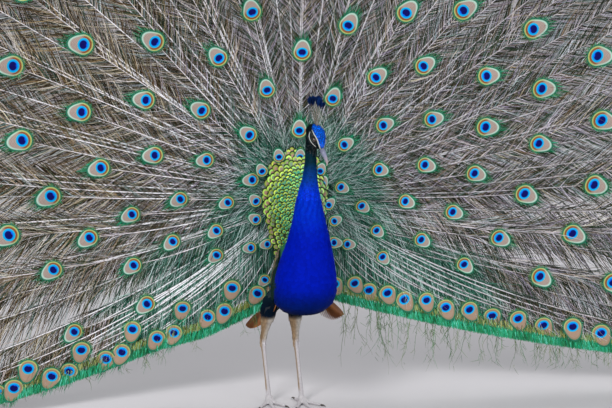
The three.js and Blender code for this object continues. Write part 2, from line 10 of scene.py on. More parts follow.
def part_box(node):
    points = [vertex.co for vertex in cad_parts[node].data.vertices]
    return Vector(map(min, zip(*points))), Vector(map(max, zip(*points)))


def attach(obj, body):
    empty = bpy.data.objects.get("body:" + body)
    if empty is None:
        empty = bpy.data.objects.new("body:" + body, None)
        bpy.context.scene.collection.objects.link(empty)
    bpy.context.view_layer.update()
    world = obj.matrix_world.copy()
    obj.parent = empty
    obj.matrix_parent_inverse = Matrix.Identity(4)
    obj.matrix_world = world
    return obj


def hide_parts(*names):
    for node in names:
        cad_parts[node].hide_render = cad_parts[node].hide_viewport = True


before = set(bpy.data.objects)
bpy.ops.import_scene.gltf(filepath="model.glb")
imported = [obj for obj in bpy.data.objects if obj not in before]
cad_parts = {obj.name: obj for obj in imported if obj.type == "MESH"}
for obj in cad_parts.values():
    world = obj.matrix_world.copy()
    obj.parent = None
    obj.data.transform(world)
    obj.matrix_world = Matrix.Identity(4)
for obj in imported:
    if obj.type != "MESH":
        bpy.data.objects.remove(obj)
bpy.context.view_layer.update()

# ---------------------------------------------------------------- studio
# A pale floor, a pale room and three soft lights, with the camera a little above the bird's
# head and looking down at it. The bird's own axes are turned ten degrees to his left and
# moved so that the floor is at zero, so every piece is made in his axes and then set here.
HEADING = math.radians(10)
HEAD_CENTRE = np.array([0.010, -0.104, 0.755])
HEAD_TURN = math.radians(34)
HEAD_NOD = math.radians(50)
EYE_LOCAL = np.array([0.0176, -0.011, 0.001])
CAMERA_FROM_HUB_LINE = (0.0, -3.696, 1.2102)
CAMERA_PITCH = math.radians(10)
CAMERA_LENS = 82.35

HEADING_MATRIX = np.array([
    [math.cos(HEADING), -math.sin(HEADING), 0],
    [math.sin(HEADING), math.cos(HEADING), 0],
    [0, 0, 1],
])
HEAD_MATRIX = np.array(Euler((HEAD_NOD, 0, HEAD_TURN), "XYZ").to_matrix())


def from_head(points):
    """The bird's axes from the skull's own: it faces -Y with its crown up."""
    return HEAD_CENTRE + np.asarray(points) @ HEAD_MATRIX.T


eye_low, eye_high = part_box("eye_left")
SHIFT = np.array((eye_low + eye_high) / 2) - from_head(EYE_LOCAL) @ HEADING_MATRIX.T


def placed(points):
    """The shared frame from the bird's axes, in metres."""
    return np.asarray(points) @ HEADING_MATRIX.T + SHIFT


def turned(ways):
    return np.asarray(ways) @ HEADING_MATRIX.T


def own(points):
    """The bird's axes from the shared frame."""
    return (np.asarray(points) - SHIFT) @ HEADING_MATRIX


def plugged(tree, socket, value):
    """Links an input to another node's output, or gives it a plain value."""
    if isinstance(value, bpy.types.NodeSocket):
        tree.links.new(value, socket)
    else:
        socket.default_value = value


def node(tree, kind, settings=None, **inputs):
    """A shader node with its properties, and its inputs set by name or, as i0 or i1, by number."""
    made = tree.nodes.new(kind)
    for name, value in (settings or {}).items():
        setattr(made, name, value)
    for name, value in inputs.items():
        numbered = name[0] == "i" and name[1:].isdigit()
        plugged(tree, made.inputs[int(name[1:]) if numbered else name.replace("_", " ")], value)
    return made


def ramp(tree, share, *stops):
    """Colours along a line: each stop is its place, then its red, green and blue."""
    made = node(tree, "ShaderNodeValToRGB", i0=share)
    while len(made.color_ramp.elements) < len(stops):
        made.color_ramp.elements.new(0.5)
    for element, (place, *colour) in zip(made.color_ramp.elements, stops):
        element.position = place
        element.color = (*colour, 1)
    return made.outputs[0]


def new_material(name, roughness=0.5, **inputs):
    made = bpy.data.materials.new(name)
    made.use_nodes = True
    shader = made.node_tree.nodes["Principled BSDF"]
    shader.inputs["Roughness"].default_value = roughness
    for socket, value in inputs.items():
        shader.inputs[socket.replace("_", " ")].default_value = value
    return made, made.node_tree, shader


def painted(tree, shader, colour, normal=None):
    """Gives a finish its colour and, where it has one, its relief."""
    tree.links.new(colour, shader.inputs["Base Color"])
    if normal is not None:
        tree.links.new(normal, shader.inputs["Normal"])


def carry_colour(mesh, label, colour):
    """Gives a mesh a colour at each point."""
    rgba = np.ones((len(mesh.vertices), 4), np.float32)
    rgba[:, :3] = np.asarray(colour).reshape(-1, 3)
    mesh.attributes.new(label, "FLOAT_COLOR", "POINT").data.foreach_set("color", rgba.ravel())


def mesh_object(name, points, faces, finish, maps=None, values=None, colours=None, smooth=True):
    """A mesh from arrays. maps are face-corner UVs by point, values and colours are by point."""
    mesh = bpy.data.meshes.new(name)
    points = np.ascontiguousarray(points, np.float32).reshape(-1, 3)
    faces = np.ascontiguousarray(faces, np.int32)
    count, sides = faces.shape
    mesh.vertices.add(len(points))
    mesh.vertices.foreach_set("co", points.ravel())
    mesh.loops.add(faces.size)
    mesh.loops.foreach_set("vertex_index", faces.ravel())
    mesh.polygons.add(count)
    mesh.polygons.foreach_set("loop_start", np.arange(0, faces.size, sides, dtype=np.int32))
    for label, uv in (maps or {}).items():
        by_point = np.ascontiguousarray(uv, np.float32).reshape(-1, 2)
        mesh.uv_layers.new(name=label).data.foreach_set("uv", by_point[faces.ravel()].ravel())
    for label, value in (values or {}).items():
        layer = mesh.attributes.new(label, "FLOAT", "POINT")
        layer.data.foreach_set("value", np.ascontiguousarray(value, np.float32).ravel())
    for label, colour in (colours or {}).items():
        carry_colour(mesh, label, colour)
    mesh.update()
    if smooth:
        mesh.shade_smooth()
    mesh.materials.append(finish)
    made = bpy.data.objects.new(name, mesh)
    bpy.context.scene.collection.objects.link(made)
    return made


def grid_faces(sets, rows, columns):
    """Quads over sets of rows x columns points, numbered row by row."""
    start = np.arange(sets)[:, None, None] * rows * columns
    corner = start + np.arange(rows - 1)[None, :, None] * columns + np.arange(columns - 1)[None, None, :]
    return np.stack([corner, corner + 1, corner + columns + 1, corner + columns], axis=-1).reshape(-1, 4)


floor_finish, tree, shader = new_material("pale_floor", 0.85)
grit = node(tree, "ShaderNodeTexNoise", Scale=9.0, Detail=6.0).outputs["Fac"]
painted(tree, shader, ramp(tree, grit, (0.3, 0.585, 0.565, 0.585), (0.7, 0.68, 0.66, 0.68)))
FLOOR_HALF = 40.0
corners = [(x * FLOOR_HALF, y * FLOOR_HALF, 0) for y in (-1, 1) for x in (-1, 1)]
floor = mesh_object("studio_floor", corners, grid_faces(1, 2, 2), floor_finish, smooth=False)

world = bpy.data.worlds.new("pale_room")
bpy.context.scene.world = world
world.use_nodes = True
world.node_tree.nodes["Background"].inputs["Color"].default_value = (0.93, 0.96, 1.0, 1)
world.node_tree.nodes["Background"].inputs["Strength"].default_value = 0.46


def soft_light(name, place, aim, size, watts, colour=(1, 1, 1)):
    lamp = bpy.data.lights.new(name, "AREA")
    lamp.shape = "DISK"
    lamp.size = size
    lamp.energy = watts
    lamp.color = colour
    made = bpy.data.objects.new(name, lamp)
    made.location = place
    made.rotation_euler = (Vector(aim) - Vector(place)).to_track_quat("-Z", "Y").to_euler()
    bpy.context.scene.collection.objects.link(made)


soft_light("key_light", (-2.2, -4.2, 4.6), (0, 0, 0.7), 2.2, 205)
soft_light("fill_light", (3.6, -3.4, 2.6), (0, 0, 0.6), 3.0, 62)
soft_light("back_light", (0.8, 3.6, 4.0), (0, 0, 0.8), 2.5, 80)

camera_data = bpy.data.cameras.new("camera")
camera_data.lens = CAMERA_LENS
camera_data.sensor_width = 36
camera_data.sensor_fit = "HORIZONTAL"
camera = bpy.data.objects.new("camera", camera_data)
camera.location = Vector(CAMERA_FROM_HUB_LINE) + Vector(SHIFT)
camera.rotation_euler = (math.radians(90) - CAMERA_PITCH, 0, 0)
bpy.context.scene.collection.objects.link(camera)
bpy.context.scene.camera = camera
bpy.context.scene.view_settings.view_transform = "Standard"

# ---------------------------------------------------------------- skin
# The bird's own body under his feathers, from crown to toes, as one closed surface. It lies
# inside the plumage by the depth of each tract, and shows only where feathers part, on the
# bare face and, as pebbled hide, on the shanks and feet.
SKIN_VOXEL = 0.0025
SKIN_SMOOTHING = 14
FLESH = ["head", "neck_upper", "neck_middle", "neck_lower", "breast", "trunk", "rump"]
FLESH += [f"{part}_{side}" for part in ("thigh", "shank", "foot") for side in ("right", "left")]


def joined_nodes(name, nodes, grow):
    """One mesh of several solids, each grown a little so that neighbours meet."""
    joined = bmesh.new()
    for label in nodes:
        joined.from_mesh(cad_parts[label].data)
    bmesh.ops.remove_doubles(joined, verts=joined.verts, dist=1e-6)
    joined.normal_update()
    for vertex in joined.verts:
        vertex.co += vertex.normal * grow
    mesh = bpy.data.meshes.new(name)
    joined.to_mesh(mesh)
    joined.free()
    made = bpy.data.objects.new(name, mesh)
    bpy.context.scene.collection.objects.link(made)
    return made


def settled(made):
    """The object with its modifiers worked into its mesh."""
    graph = bpy.context.evaluated_depsgraph_get()
    graph.update()
    mesh = bpy.data.meshes.new_from_object(made.evaluated_get(graph))
    made.modifiers.clear()
    made.data = mesh
    return made


def remeshed(made, voxel):
    modifier = made.modifiers.new("voxels", "REMESH")
    modifier.mode = "VOXEL"
    modifier.voxel_size = voxel
    return settled(made)


def mesh_points(mesh):
    points = np.empty(len(mesh.vertices) * 3, np.float32)
    mesh.vertices.foreach_get("co", points)
    return points.reshape(-1, 3).astype(float)


def mesh_normals(mesh):
    normals = np.empty(len(mesh.vertices) * 3, np.float32)
    mesh.vertex_normals.foreach_get("vector", normals)
    return normals.reshape(-1, 3).astype(float)


def smoothed(made, share, rounds):
    """Evens out a mesh: share is how far each point goes, 0 to 1, to its neighbours' mean."""
    edges = np.empty(len(made.data.edges) * 2, np.int32)
    made.data.edges.foreach_get("vertices", edges)
    edges = edges.reshape(-1, 2)
    points = mesh_points(made.data)
    near = np.bincount(edges.ravel(), minlength=len(points))[:, None]
    for _ in range(rounds):
        total = np.zeros_like(points)
        for axis in range(3):
            total[:, axis] = np.bincount(edges[:, 0], points[edges[:, 1], axis], len(points))
            total[:, axis] += np.bincount(edges[:, 1], points[edges[:, 0], axis], len(points))
        points += share[:, None] * (total / near - points)
    made.data.vertices.foreach_set("co", points.astype(np.float32).ravel())
    made.data.update()


def to_head(points):
    """The skull's own axes from the shared frame."""
    return (own(points) - HEAD_CENTRE) @ HEAD_MATRIX


def rises(value, start, end):
    share = np.clip((value - start) / (end - start), 0, 1)
    return share * share * (3 - 2 * share)


def blended(share, first, second):
    return first + np.asarray(share)[..., None] * (np.asarray(second) - first)


BREAST_BLUE, NECK_PAINTED_SHEEN = np.array([0.0002, 0.010, 0.45]), [0.0004, 0.042, 0.66]
BACK_TEAL, BACK_GREEN, BELLY_DARK = [0.003, 0.022, 0.030], [0.03, 0.17, 0.07], [0.0008, 0.006, 0.016]
THIGH_TAN, THIGH_PALE = np.array([0.33, 0.22, 0.125]), [0.56, 0.52, 0.46]
HIDE_PALE, HIDE_BROWN = np.array([0.62, 0.59, 0.61]), [0.38, 0.27, 0.18]
FACE_DARK, CROWN_BLUE = np.array([0.0012, 0.008, 0.010]), [0.0006, 0.125, 0.82]
# heights at which each band of the front starts and is full, its greatest share, its colour
# the first two bands darken the front towards the bottom, to navy and then nearly black
FRONT_BANDS = [
    (0.375, 0.300, 1.0, [0.0003, 0.010, 0.13]),
    (0.302, 0.276, 1.0, [0.0004, 0.004, 0.018]),
    (0.600, 0.655, 0.85, [0.0006, 0.036, 0.15]),
    (0.650, 0.690, 1.0, [0.0006, 0.018, 0.030]),
]
# across the bird, the middle of each leg at three heights
LEG_HEIGHTS, BETWEEN_LEGS = [0.02, 0.173, 0.268], -0.062
RIGHT_LEG, LEFT_LEG = [-0.099, -0.112, -0.101], [-0.010, -0.022, -0.029]
# the white stripe over the left eye, across, along and up in the skull's axes
BROW = np.array([
    (0.0072, -0.0395, -0.0060), (0.0132, -0.0280, 0.0035), (0.0190, -0.0140, 0.0108),
    (0.0225, 0.0010, 0.0138), (0.0215, 0.0130, 0.0138),
])


def plumage(points):
    """The colour of skin and feather alike at each place on the body."""
    body = own(points)
    head = to_head(points)
    x, y, z = body[..., 0], body[..., 1], body[..., 2]
    # on the neck, fine streaks of a lighter blue are a painted sheen
    streak = 0.5 + 0.5 * np.sin(x * 760 + 2.5 * np.sin(z * 60)) * np.sin(x * 330 + z * 25)
    colour = np.broadcast_to(BREAST_BLUE, points.shape).copy()
    painted_sheen = rises(z, 0.47, 0.58) * rises(z, 0.665, 0.63)
    colour = blended(painted_sheen * (0.15 + 0.85 * streak), colour, NECK_PAINTED_SHEEN)
    for start, full, most, tint in FRONT_BANDS:
        colour = blended(rises(z, start, full) * most, colour, tint)
    back = rises(y, -0.045, -0.005) * rises(z, 0.50, 0.44)
    colour = blended(back, colour, BACK_TEAL)
    colour = blended(back * rises(z, 0.40, 0.44), colour, BACK_GREEN)
    belly = rises(z, 0.325, 0.285) * rises(y, -0.06, -0.01)
    colour = blended(belly, colour, BELLY_DARK)
    right_axis = np.interp(z, LEG_HEIGHTS, RIGHT_LEG)
    left_axis = np.interp(z, LEG_HEIGHTS, LEFT_LEG)
    across = x - np.where(x < BETWEEN_LEGS, right_axis, left_axis)
    # each leg is tan or brown on the side towards the bird's right and pale on the other
    thigh = blended(rises(across, -0.006, 0.008), THIGH_TAN, THIGH_PALE)
    colour = blended(rises(z, 0.252, 0.238), colour, thigh)
    edge = rises(across, -0.0015, -0.0045) * rises(z, 0.030, 0.045)
    colour = blended(rises(z, 0.185, 0.163), colour, blended(edge, HIDE_PALE, HIDE_BROWN))
    on_head = rises(np.linalg.norm(head, axis=-1), 0.053, 0.042)
    brow_line = np.interp(head[..., 1], BROW[:, 1], BROW[:, 2])
    crown = rises(head[..., 2] - brow_line, -0.0012, 0.0010)
    return blended(on_head, colour, blended(crown, FACE_DARK, CROWN_BLUE))


COAT_HEIGHTS = [0.15, 0.20, 0.27, 0.33, 0.47, 0.62, 0.70, 0.73]
COAT_DEPTHS = [0.0004, 0.002, 0.003, 0.0045, 0.004, 0.0025, 0.0016, 0.0011]


def coat_depth(points):
    """How deep the plumage is at each place, from skin to outline."""
    return np.interp(own(points)[..., 2], COAT_HEIGHTS, COAT_DEPTHS)


def attribute(tree, name, output="Fac"):
    """A value, or as Color a colour, that the mesh carries at each point."""
    return node(tree, "ShaderNodeAttribute", {"attribute_name": name}).outputs[output]


def object_place(tree):
    return node(tree, "ShaderNodeTexCoord").outputs["Object"]


def maths(tree, operation, *values):
    inputs = {f"i{place}": value for place, value in enumerate(values)}
    return node(tree, "ShaderNodeMath", {"operation": operation}, **inputs).outputs[0]


def mixed(tree, share, first, second):
    made = node(tree, "ShaderNodeMix", {"data_type": "RGBA"}, i0=share, i6=first, i7=second)
    return made.outputs[2]


def relief(tree, height, strength, distance):
    return node(tree, "ShaderNodeBump", Strength=strength, Distance=distance, Height=height).outputs[0]


skin = joined_nodes("skin", FLESH, 0.0004)
remeshed(skin, SKIN_VOXEL)
skin_points = mesh_points(skin.data)
height = own(skin_points)[:, 2]
smoothed(skin, np.interp(height, [0.15, 0.22, 0.68, 0.74], [0.12, 0.55, 0.55, 0.35]), SKIN_SMOOTHING)
skin_points = mesh_points(skin.data)
skin_points -= mesh_normals(skin.data) * coat_depth(skin_points)[:, None]
skin.data.vertices.foreach_set("co", skin_points.astype(np.float32).ravel())
skin.data.update()
skin.data.shade_smooth()
skin_points = mesh_points(skin.data)
carry_colour(skin.data, "plumage", plumage(skin_points))

hide_finish, tree, shader = new_material("bird_skin", 0.6)
pebble = node(tree, "ShaderNodeTexVoronoi", Scale=420.0, Vector=object_place(tree)).outputs["Distance"]
# each pebble is darker in its hollow, where the relief sinks it: painted shade in the dimples
depth = maths(tree, "MULTIPLY_ADD", pebble, 0.8, 0.55)
hide = mixed(tree, depth, (0, 0, 0, 1), attribute(tree, "plumage", "Color"))
painted(tree, shader, hide, relief(tree, pebble, 0.35, 0.0006))
skin.data.materials.clear()
skin.data.materials.append(hide_finish)
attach(skin, "root")
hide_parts(*FLESH)

skin.data.calc_loop_triangles()
skin_triangles = np.empty(len(skin.data.loop_triangles) * 3, np.int32)
skin.data.loop_triangles.foreach_get("vertices", skin_triangles)
skin_triangles = skin_triangles.reshape(-1, 3)
skin_tree = BVHTree.FromPolygons(skin_points.tolist(), skin_triangles.tolist())

# ---------------------------------------------------------------- body plumage
# Short overlapping feathers clothe the head, neck, breast, flanks and thighs. Each grows from
# the skin and lies back along the body over the next one: glossy and rounded on the neck and
# breast, the neck's sheen painted into its colour, looser and browner on the belly and thighs.
rng = np.random.default_rng(11)


def unit(ways):
    return ways / np.maximum(np.linalg.norm(ways, axis=-1, keepdims=True), 1e-12)


def apart(place, other, spacing):
    return sum((here - there) ** 2 for here, there in zip(place, other)) >= spacing**2


def scattered(wanted, spacing, tries):
    """Places spread evenly over the skin where wanted(points) is true, with their normals."""
    corner = skin_points[skin_triangles]
    corner = corner[wanted(corner.mean(axis=1))]
    edges = corner[:, 1:] - corner[:, :1]
    cross = np.cross(edges[:, 0], edges[:, 1])
    area = np.linalg.norm(cross, axis=1) / 2
    count = int(tries * area.sum() / spacing**2)
    pick = rng.choice(len(corner), count, p=area / area.sum())
    a, b = rng.random((2, count))
    flip = a + b > 1
    a, b = np.where(flip, 1 - a, a), np.where(flip, 1 - b, b)
    places = corner[pick, 0] + a[:, None] * edges[pick, 0] + b[:, None] * edges[pick, 1]
    cells = np.floor(places / spacing).astype(int)
    taken, kept = {}, []
    around = [(i, j, k) for i in (-1, 0, 1) for j in (-1, 0, 1) for k in (-1, 0, 1)]
    for n, (cell, place) in enumerate(zip(map(tuple, cells), places.tolist())):
        near = (taken.get((cell[0] + i, cell[1] + j, cell[2] + k), ()) for i, j, k in around)
        if all(apart(place, other, spacing) for group in near for other in group):
            taken.setdefault(cell, []).append(place)
            kept.append(n)
    return places[kept], unit(cross[pick[kept]])


def lie(points):
    """How feathers lie: back over the crown, down the neck and breast, then along the back."""
    body = own(points)
    down = np.broadcast_to(np.array([0.0, 0.0, -1.0]), body.shape)
    backwards = rises(body[:, 1], -0.075, 0.0) * rises(body[:, 2], 0.52, 0.40)
    way = blended(backwards, down, [0.0, 1.0, -0.25])
    way = blended(rises(body[:, 2], 0.285, 0.262), way, [0.0, 0.15, -1.0])
    head = to_head(points)
    over_head = unit(head - np.array([0, -0.044, -0.004])) @ HEAD_MATRIX.T
    way = blended(rises(np.linalg.norm(head, axis=1), 0.056, 0.042), way, over_head)
    return turned(unit(way))


# side of each feather's patch on the unwrap that its colours are kept on
TUFT_PATCH = 0.003


def skin_unwrap(points):
    """Where a root is on an unwrap of the body: round its upright axis and along its height."""
    body = own(points)
    round_neck = np.arctan2(body[:, 0] + 0.02, -(body[:, 1] + 0.05)) / (2 * np.pi)
    return np.stack([0.5 + 0.96 * round_neck, body[:, 2] * 1.15 + 0.04], axis=-1)


def coat(
    name, places, normals, length, width, lift, stations, outline, finish,
    values=None, hug=True, way=None, place_map=None, colours=None, camber=0.25,
):
    """Feathers as one mesh: each a cambered vane of three columns, from its root the given way.

    lift and outline are the height and width at each station of a vane. Where hug is true the
    vane follows the skin, and otherwise it is straight.
    """
    count = len(places)
    length = np.broadcast_to(length, (count,))
    width = np.broadcast_to(width, (count,))
    if way is None:
        way = lie(places)
    way = unit(way - normals * np.sum(way * normals, axis=1, keepdims=True))
    t = np.asarray(stations, float)
    spine = places[:, None, :] + way[:, None, :] * (length[:, None] * t)[..., None]
    out = np.broadcast_to(normals[:, None, :], spine.shape).copy()
    if hug:
        flat_spine = spine.reshape(-1, 3)
        flat_out = out.reshape(-1, 3)
        for n, point in enumerate(flat_spine.tolist()):
            flat_spine[n], flat_out[n], _, _ = skin_tree.find_nearest(point)
        spine = flat_spine.reshape(spine.shape)
        out = unit(flat_out.reshape(spine.shape) + normals[:, None, :])
    rise = np.broadcast_to(np.asarray(lift, float), (count, len(t)))
    spine = spine + out * rise[..., None]
    across = unit(np.cross(np.gradient(spine, axis=1), out))
    half = (0.5 * width[:, None] * np.asarray(outline, float)[None, :])[..., None]
    droop = out * (camber * half)
    points = np.stack([spine - across * half - droop, spine, spine + across * half - droop], axis=2)
    columns = np.array([0, 0.5, 1.0])[None, None, :]
    flat = np.stack(np.broadcast_arrays(columns, t[None, :, None]), axis=-1)
    flat = np.broadcast_to(flat, (count, len(t), 3, 2))
    unwrap = (place_map or skin_unwrap)(places)
    bake = unwrap[:, None, None, :] + (flat - 0.5) * TUFT_PATCH
    spread = {key: np.repeat(value, len(t) * 3) for key, value in (values or {}).items()}
    if colours is None:
        colours = plumage(points.reshape(-1, 3))
    else:
        colours = np.repeat(colours, len(t) * 3, axis=0)
    made = mesh_object(
        name, points, grid_faces(count, len(t), 3), finish,
        maps={"vane": flat, "OFBake": bake}, values=spread, colours={"plumage": colours},
    )
    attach(made, "root")
    return made


def new_group(name, inputs, outputs):
    """A shader node group: its inputs are values by name, its outputs kinds of socket by name."""
    tree = bpy.data.node_groups.new(name, "ShaderNodeTree")
    for label, value in inputs.items():
        socket = tree.interface.new_socket(label, in_out="INPUT", socket_type="NodeSocketFloat")
        socket.default_value = value
    for label, kind in outputs.items():
        tree.interface.new_socket(label, in_out="OUTPUT", socket_type=kind)
    return tree, tree.nodes.new("NodeGroupInput").outputs, tree.nodes.new("NodeGroupOutput").inputs


def placed_group(tree, group, **inputs):
    made = tree.nodes.new("ShaderNodeGroup")
    made.node_tree = group
    for name, value in inputs.items():
        plugged(tree, made.inputs[name.replace("_", " ")], value)
    return made.outputs


def vane_place(tree):
    """Across and along a feather's vane, each from 0 to 1."""
    vane = node(tree, "ShaderNodeUVMap", {"uv_map": "vane"}).outputs[0]
    return node(tree, "ShaderNodeSeparateXYZ", Vector=vane).outputs[:2]


def soft_step(tree, value, start, end):
    """0 at the start and 1 at the end, with a smooth rise between."""
    smooth = {"interpolation_type": "SMOOTHSTEP"}
    return node(tree, "ShaderNodeMapRange", smooth, Value=value, From_Min=start, From_Max=end).outputs[0]


def scaled(tree, colour, level):
    return node(tree, "ShaderNodeVectorMath", {"operation": "SCALE"}, i0=colour, Scale=level).outputs[0]


SCALAR, VECTOR = "NodeSocketFloat", "NodeSocketVector"
barb_lines, given, result = new_group(
    "barb_lines", {"Count": 40.0, "Slant": 0.5, "Depth": 0.2},
    {"Lines": SCALAR, "Shaft": SCALAR, "Normal": VECTOR},
)
across, along = vane_place(barb_lines)
off_shaft = maths(barb_lines, "ABSOLUTE", maths(barb_lines, "SUBTRACT", across, 0.5))
slanted = maths(barb_lines, "SUBTRACT", along, maths(barb_lines, "MULTIPLY", off_shaft, given["Slant"]))
turns = maths(barb_lines, "MULTIPLY", slanted, maths(barb_lines, "MULTIPLY", given["Count"], math.tau))
lines = maths(barb_lines, "MULTIPLY_ADD", maths(barb_lines, "SINE", turns), 0.5, 0.5)
near_shaft = {"From_Min": 0.0, "From_Max": 0.05, "To_Min": 1.0, "To_Max": 0.0}
shaft = node(barb_lines, "ShaderNodeMapRange", Value=off_shaft, **near_shaft).outputs[0]
height = maths(barb_lines, "ADD", lines, maths(barb_lines, "MULTIPLY", shaft, 1.5))
barb_lines.links.new(lines, result["Lines"])
barb_lines.links.new(shaft, result["Shaft"])
barb_lines.links.new(relief(barb_lines, height, given["Depth"], 0.001), result["Normal"])

feather_rim, given, result = new_group(
    "feather_rim", {"Narrowing": 1.7, "Middle": 0.45}, {"Distance": SCALAR},
)
across, along = vane_place(feather_rim)
off = maths(feather_rim, "ABSOLUTE", maths(feather_rim, "SUBTRACT", across, 0.5))
off = maths(feather_rim, "MULTIPLY", off, given["Narrowing"])
past = maths(feather_rim, "MULTIPLY", maths(feather_rim, "SUBTRACT", along, given["Middle"]), 1.75)
total = maths(feather_rim, "MULTIPLY_ADD", past, past, maths(feather_rim, "MULTIPLY", off, off))
feather_rim.links.new(maths(feather_rim, "SQRT", total), result["Distance"])


def plumage_finish(name, roughness, edge_light, specular, sheen, barbs, slant, uneven=0.22, rim_dark=0.0):
    """Feathers in the body's own markings, with barb lines, a random tone and their own rims."""
    made, tree, shader = new_material(
        name, roughness, Specular_IOR_Level=specular, Sheen_Weight=sheen, Sheen_Roughness=0.4,
    )
    grain = placed_group(tree, barb_lines, Count=barbs, Slant=slant, Depth=0.2)
    rim = placed_group(tree, feather_rim, Narrowing=1.7, Middle=0.45)["Distance"]
    level = maths(tree, "MULTIPLY_ADD", attribute(tree, "tone"), uneven, 0.92 - uneven / 2)
    level = maths(tree, "MULTIPLY_ADD", grain["Lines"], uneven * 0.5, level)
    level = maths(tree, "MULTIPLY_ADD", soft_step(tree, vane_place(tree)[1], 0.55, 0.98), edge_light, level)
    shade = maths(tree, "MULTIPLY", soft_step(tree, rim, 0.5, 0.85), rim_dark)
    level = maths(tree, "MULTIPLY", level, maths(tree, "SUBTRACT", 1.0, shade))
    painted(tree, shader, scaled(tree, attribute(tree, "plumage", "Color"), level), grain["Normal"])
    return made


ROUNDED = (0.55, 0.95, 1.0, 0.85, 0.35)
ROUNDED_STATIONS = (0.0, 0.3, 0.62, 0.86, 1.0)
# name, roughness, lighter edge, specular, sheen, barbs, slant, unevenness, darker rim
satin_finish = plumage_finish("blue_satin", 0.55, 0.08, 0.02, 0.0, 6.0, 0.6, 0.26)
throat_finish = plumage_finish("green_throat", 0.5, 0.35, 0.04, 0.0, 5.0, 0.6, 0.5)
crown_finish = plumage_finish("crown_scale", 0.45, 0.5, 0.06, 0.0, 4.0, 0.5, 0.6, 0.95)
loose_finish = plumage_finish("loose_down", 0.7, 0.25, 0.05, 0.04, 12.0, 0.8, 0.4)


def zone(low, high, test=None):
    """True where a place on the body is between two heights and passes the test."""
    def wanted(points):
        body = own(points)
        chosen = (body[:, 2] >= low) & (body[:, 2] < high)
        return chosen & test(body) if test else chosen
    return wanted


def off_head(body):
    return np.linalg.norm(body - HEAD_CENTRE, axis=1) > 0.046


def on_head(points):
    head = to_head(points)
    face = (np.abs(head[:, 0]) > 0.012) & (head[:, 2] < 0.011) & (head[:, 2] > -0.016) & (head[:, 1] < 0.005)
    bill = head[:, 1] < -0.035
    return (np.linalg.norm(head, axis=1) <= 0.048) & (own(points)[:, 2] > 0.69) & ~face & ~bill


def in_front(body):
    return body[:, 1] < -0.035


def behind(body):
    return ~in_front(body)


def on_leg(body):
    return body[:, 1] > -0.04


# name, where it grows, finish and slot, then spacing, length, width, depth and camber
BODY_COATS = [
    ("breast_feathers", zone(0.262, 0.47, in_front), satin_finish, "blue_plumage",
     (0.0062, 0.024, 0.0135, 0.0028, 0.10)),
    ("neck_feathers", zone(0.47, 0.60), satin_finish, "blue_plumage",
     (0.0052, 0.020, 0.0095, 0.0026, 0.10)),
    ("throat_feathers", zone(0.60, 0.76, off_head), throat_finish, "dark_plumage",
     (0.0035, 0.012, 0.0062, 0.0018, 0.12)),
    ("flank_feathers", zone(0.262, 0.56, behind), loose_finish, "dark_plumage",
     (0.0100, 0.034, 0.020, 0.0042, 0.25)),
    ("thigh_feathers", zone(0.172, 0.280, on_leg), loose_finish, "thigh_plumage",
     (0.0044, 0.018, 0.0058, 0.0024, 0.2)),
]
LIE_CLOSE = np.array([-0.1, 0.32, 0.6, 0.82, 1.0])
for label, wanted, finish, slot, (spacing, length, width, depth, camber) in BODY_COATS:
    places, normals = scattered(wanted, spacing, 5)
    size = rng.uniform(0.85, 1.12, len(places))
    made = coat(
        label, places, normals, length * size, width * size, LIE_CLOSE * depth, ROUNDED_STATIONS, ROUNDED,
        finish, values={"tone": rng.random(len(places))}, camber=camber,
    )

CROWN_LIFT = np.array([-0.1, 0.45, 0.75, 0.9, 1.0]) * 0.0014
places, normals = scattered(on_head, 0.0044, 5)
size = rng.uniform(0.85, 1.15, len(places))
made = coat(
    "crown_feathers", places, normals, 0.0096 * size, 0.0068 * size, CROWN_LIFT, ROUNDED_STATIONS, ROUNDED,
    crown_finish, values={"tone": rng.random(len(places))}, camber=0.3,
)

# ---------------------------------------------------------------- eyes, bill and bare face
# Dark brown eyes sit in bare white skin, a crescent below and a stripe above that runs from
# the bill over the eye. The bill is horn, lilac grey with a paler tip, stout and hooked.
eye_finish, tree, shader = new_material("eyeball", 0.06, Specular_IOR_Level=0.7, Coat_Weight=1.0)
iris = ramp(
    tree, attribute(tree, "from_pupil"), (0.0, 0.002, 0.002, 0.002), (0.36, 0.002, 0.002, 0.002),
    (0.42, 0.05, 0.018, 0.006), (0.75, 0.028, 0.010, 0.004), (0.85, 0.006, 0.004, 0.003),
)
painted(tree, shader, iris)
EYE_RADIUS = 0.0066
BALL_ROWS, BALL_COLUMNS = 20, 33
for side, label in ((-1, "eye_right"), (1, "eye_left")):
    polar = np.linspace(0.02, np.pi - 0.02, BALL_ROWS)
    angle = np.linspace(0, 2 * np.pi, BALL_COLUMNS)[None, :, None]
    outward = unit(np.array([side * 0.95, -0.30, 0.05]))
    first = unit(np.cross(outward, [0, 0, 1.0]))
    belt = np.cos(angle) * first + np.sin(angle) * np.cross(outward, first)
    ball = np.cos(polar)[:, None, None] * outward + np.sin(polar)[:, None, None] * belt
    local = EYE_LOCAL * np.array([side, 1, 1]) + ball * EYE_RADIUS
    made = mesh_object(
        label + "_ball", placed(from_head(local)), grid_faces(1, BALL_ROWS, BALL_COLUMNS), eye_finish,
        values={"from_pupil": np.repeat(polar / (np.pi / 2), BALL_COLUMNS)},
    )
    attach(made, "root")
    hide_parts(label)


def noise(tree, scale, detail=2.0):
    """Noise that stays fixed to the piece."""
    made = node(tree, "ShaderNodeTexNoise", Scale=scale, Detail=detail, Vector=object_place(tree))
    return made.outputs["Fac"]


white_finish, tree, shader = new_material("bare_white_skin", 0.55, Subsurface_Weight=0.15)
wrinkle = noise(tree, 900.0, 3.0)
pale = ramp(tree, wrinkle, (0.3, 0.55, 0.54, 0.47), (0.7, 0.82, 0.83, 0.80))
painted(tree, shader, pale, relief(tree, wrinkle, 0.5, 0.0004))
BAND_STATIONS, BAND_COLUMNS = 28, 7
BAND_SEAT, BAND_SWELL = 0.0007, 0.0009


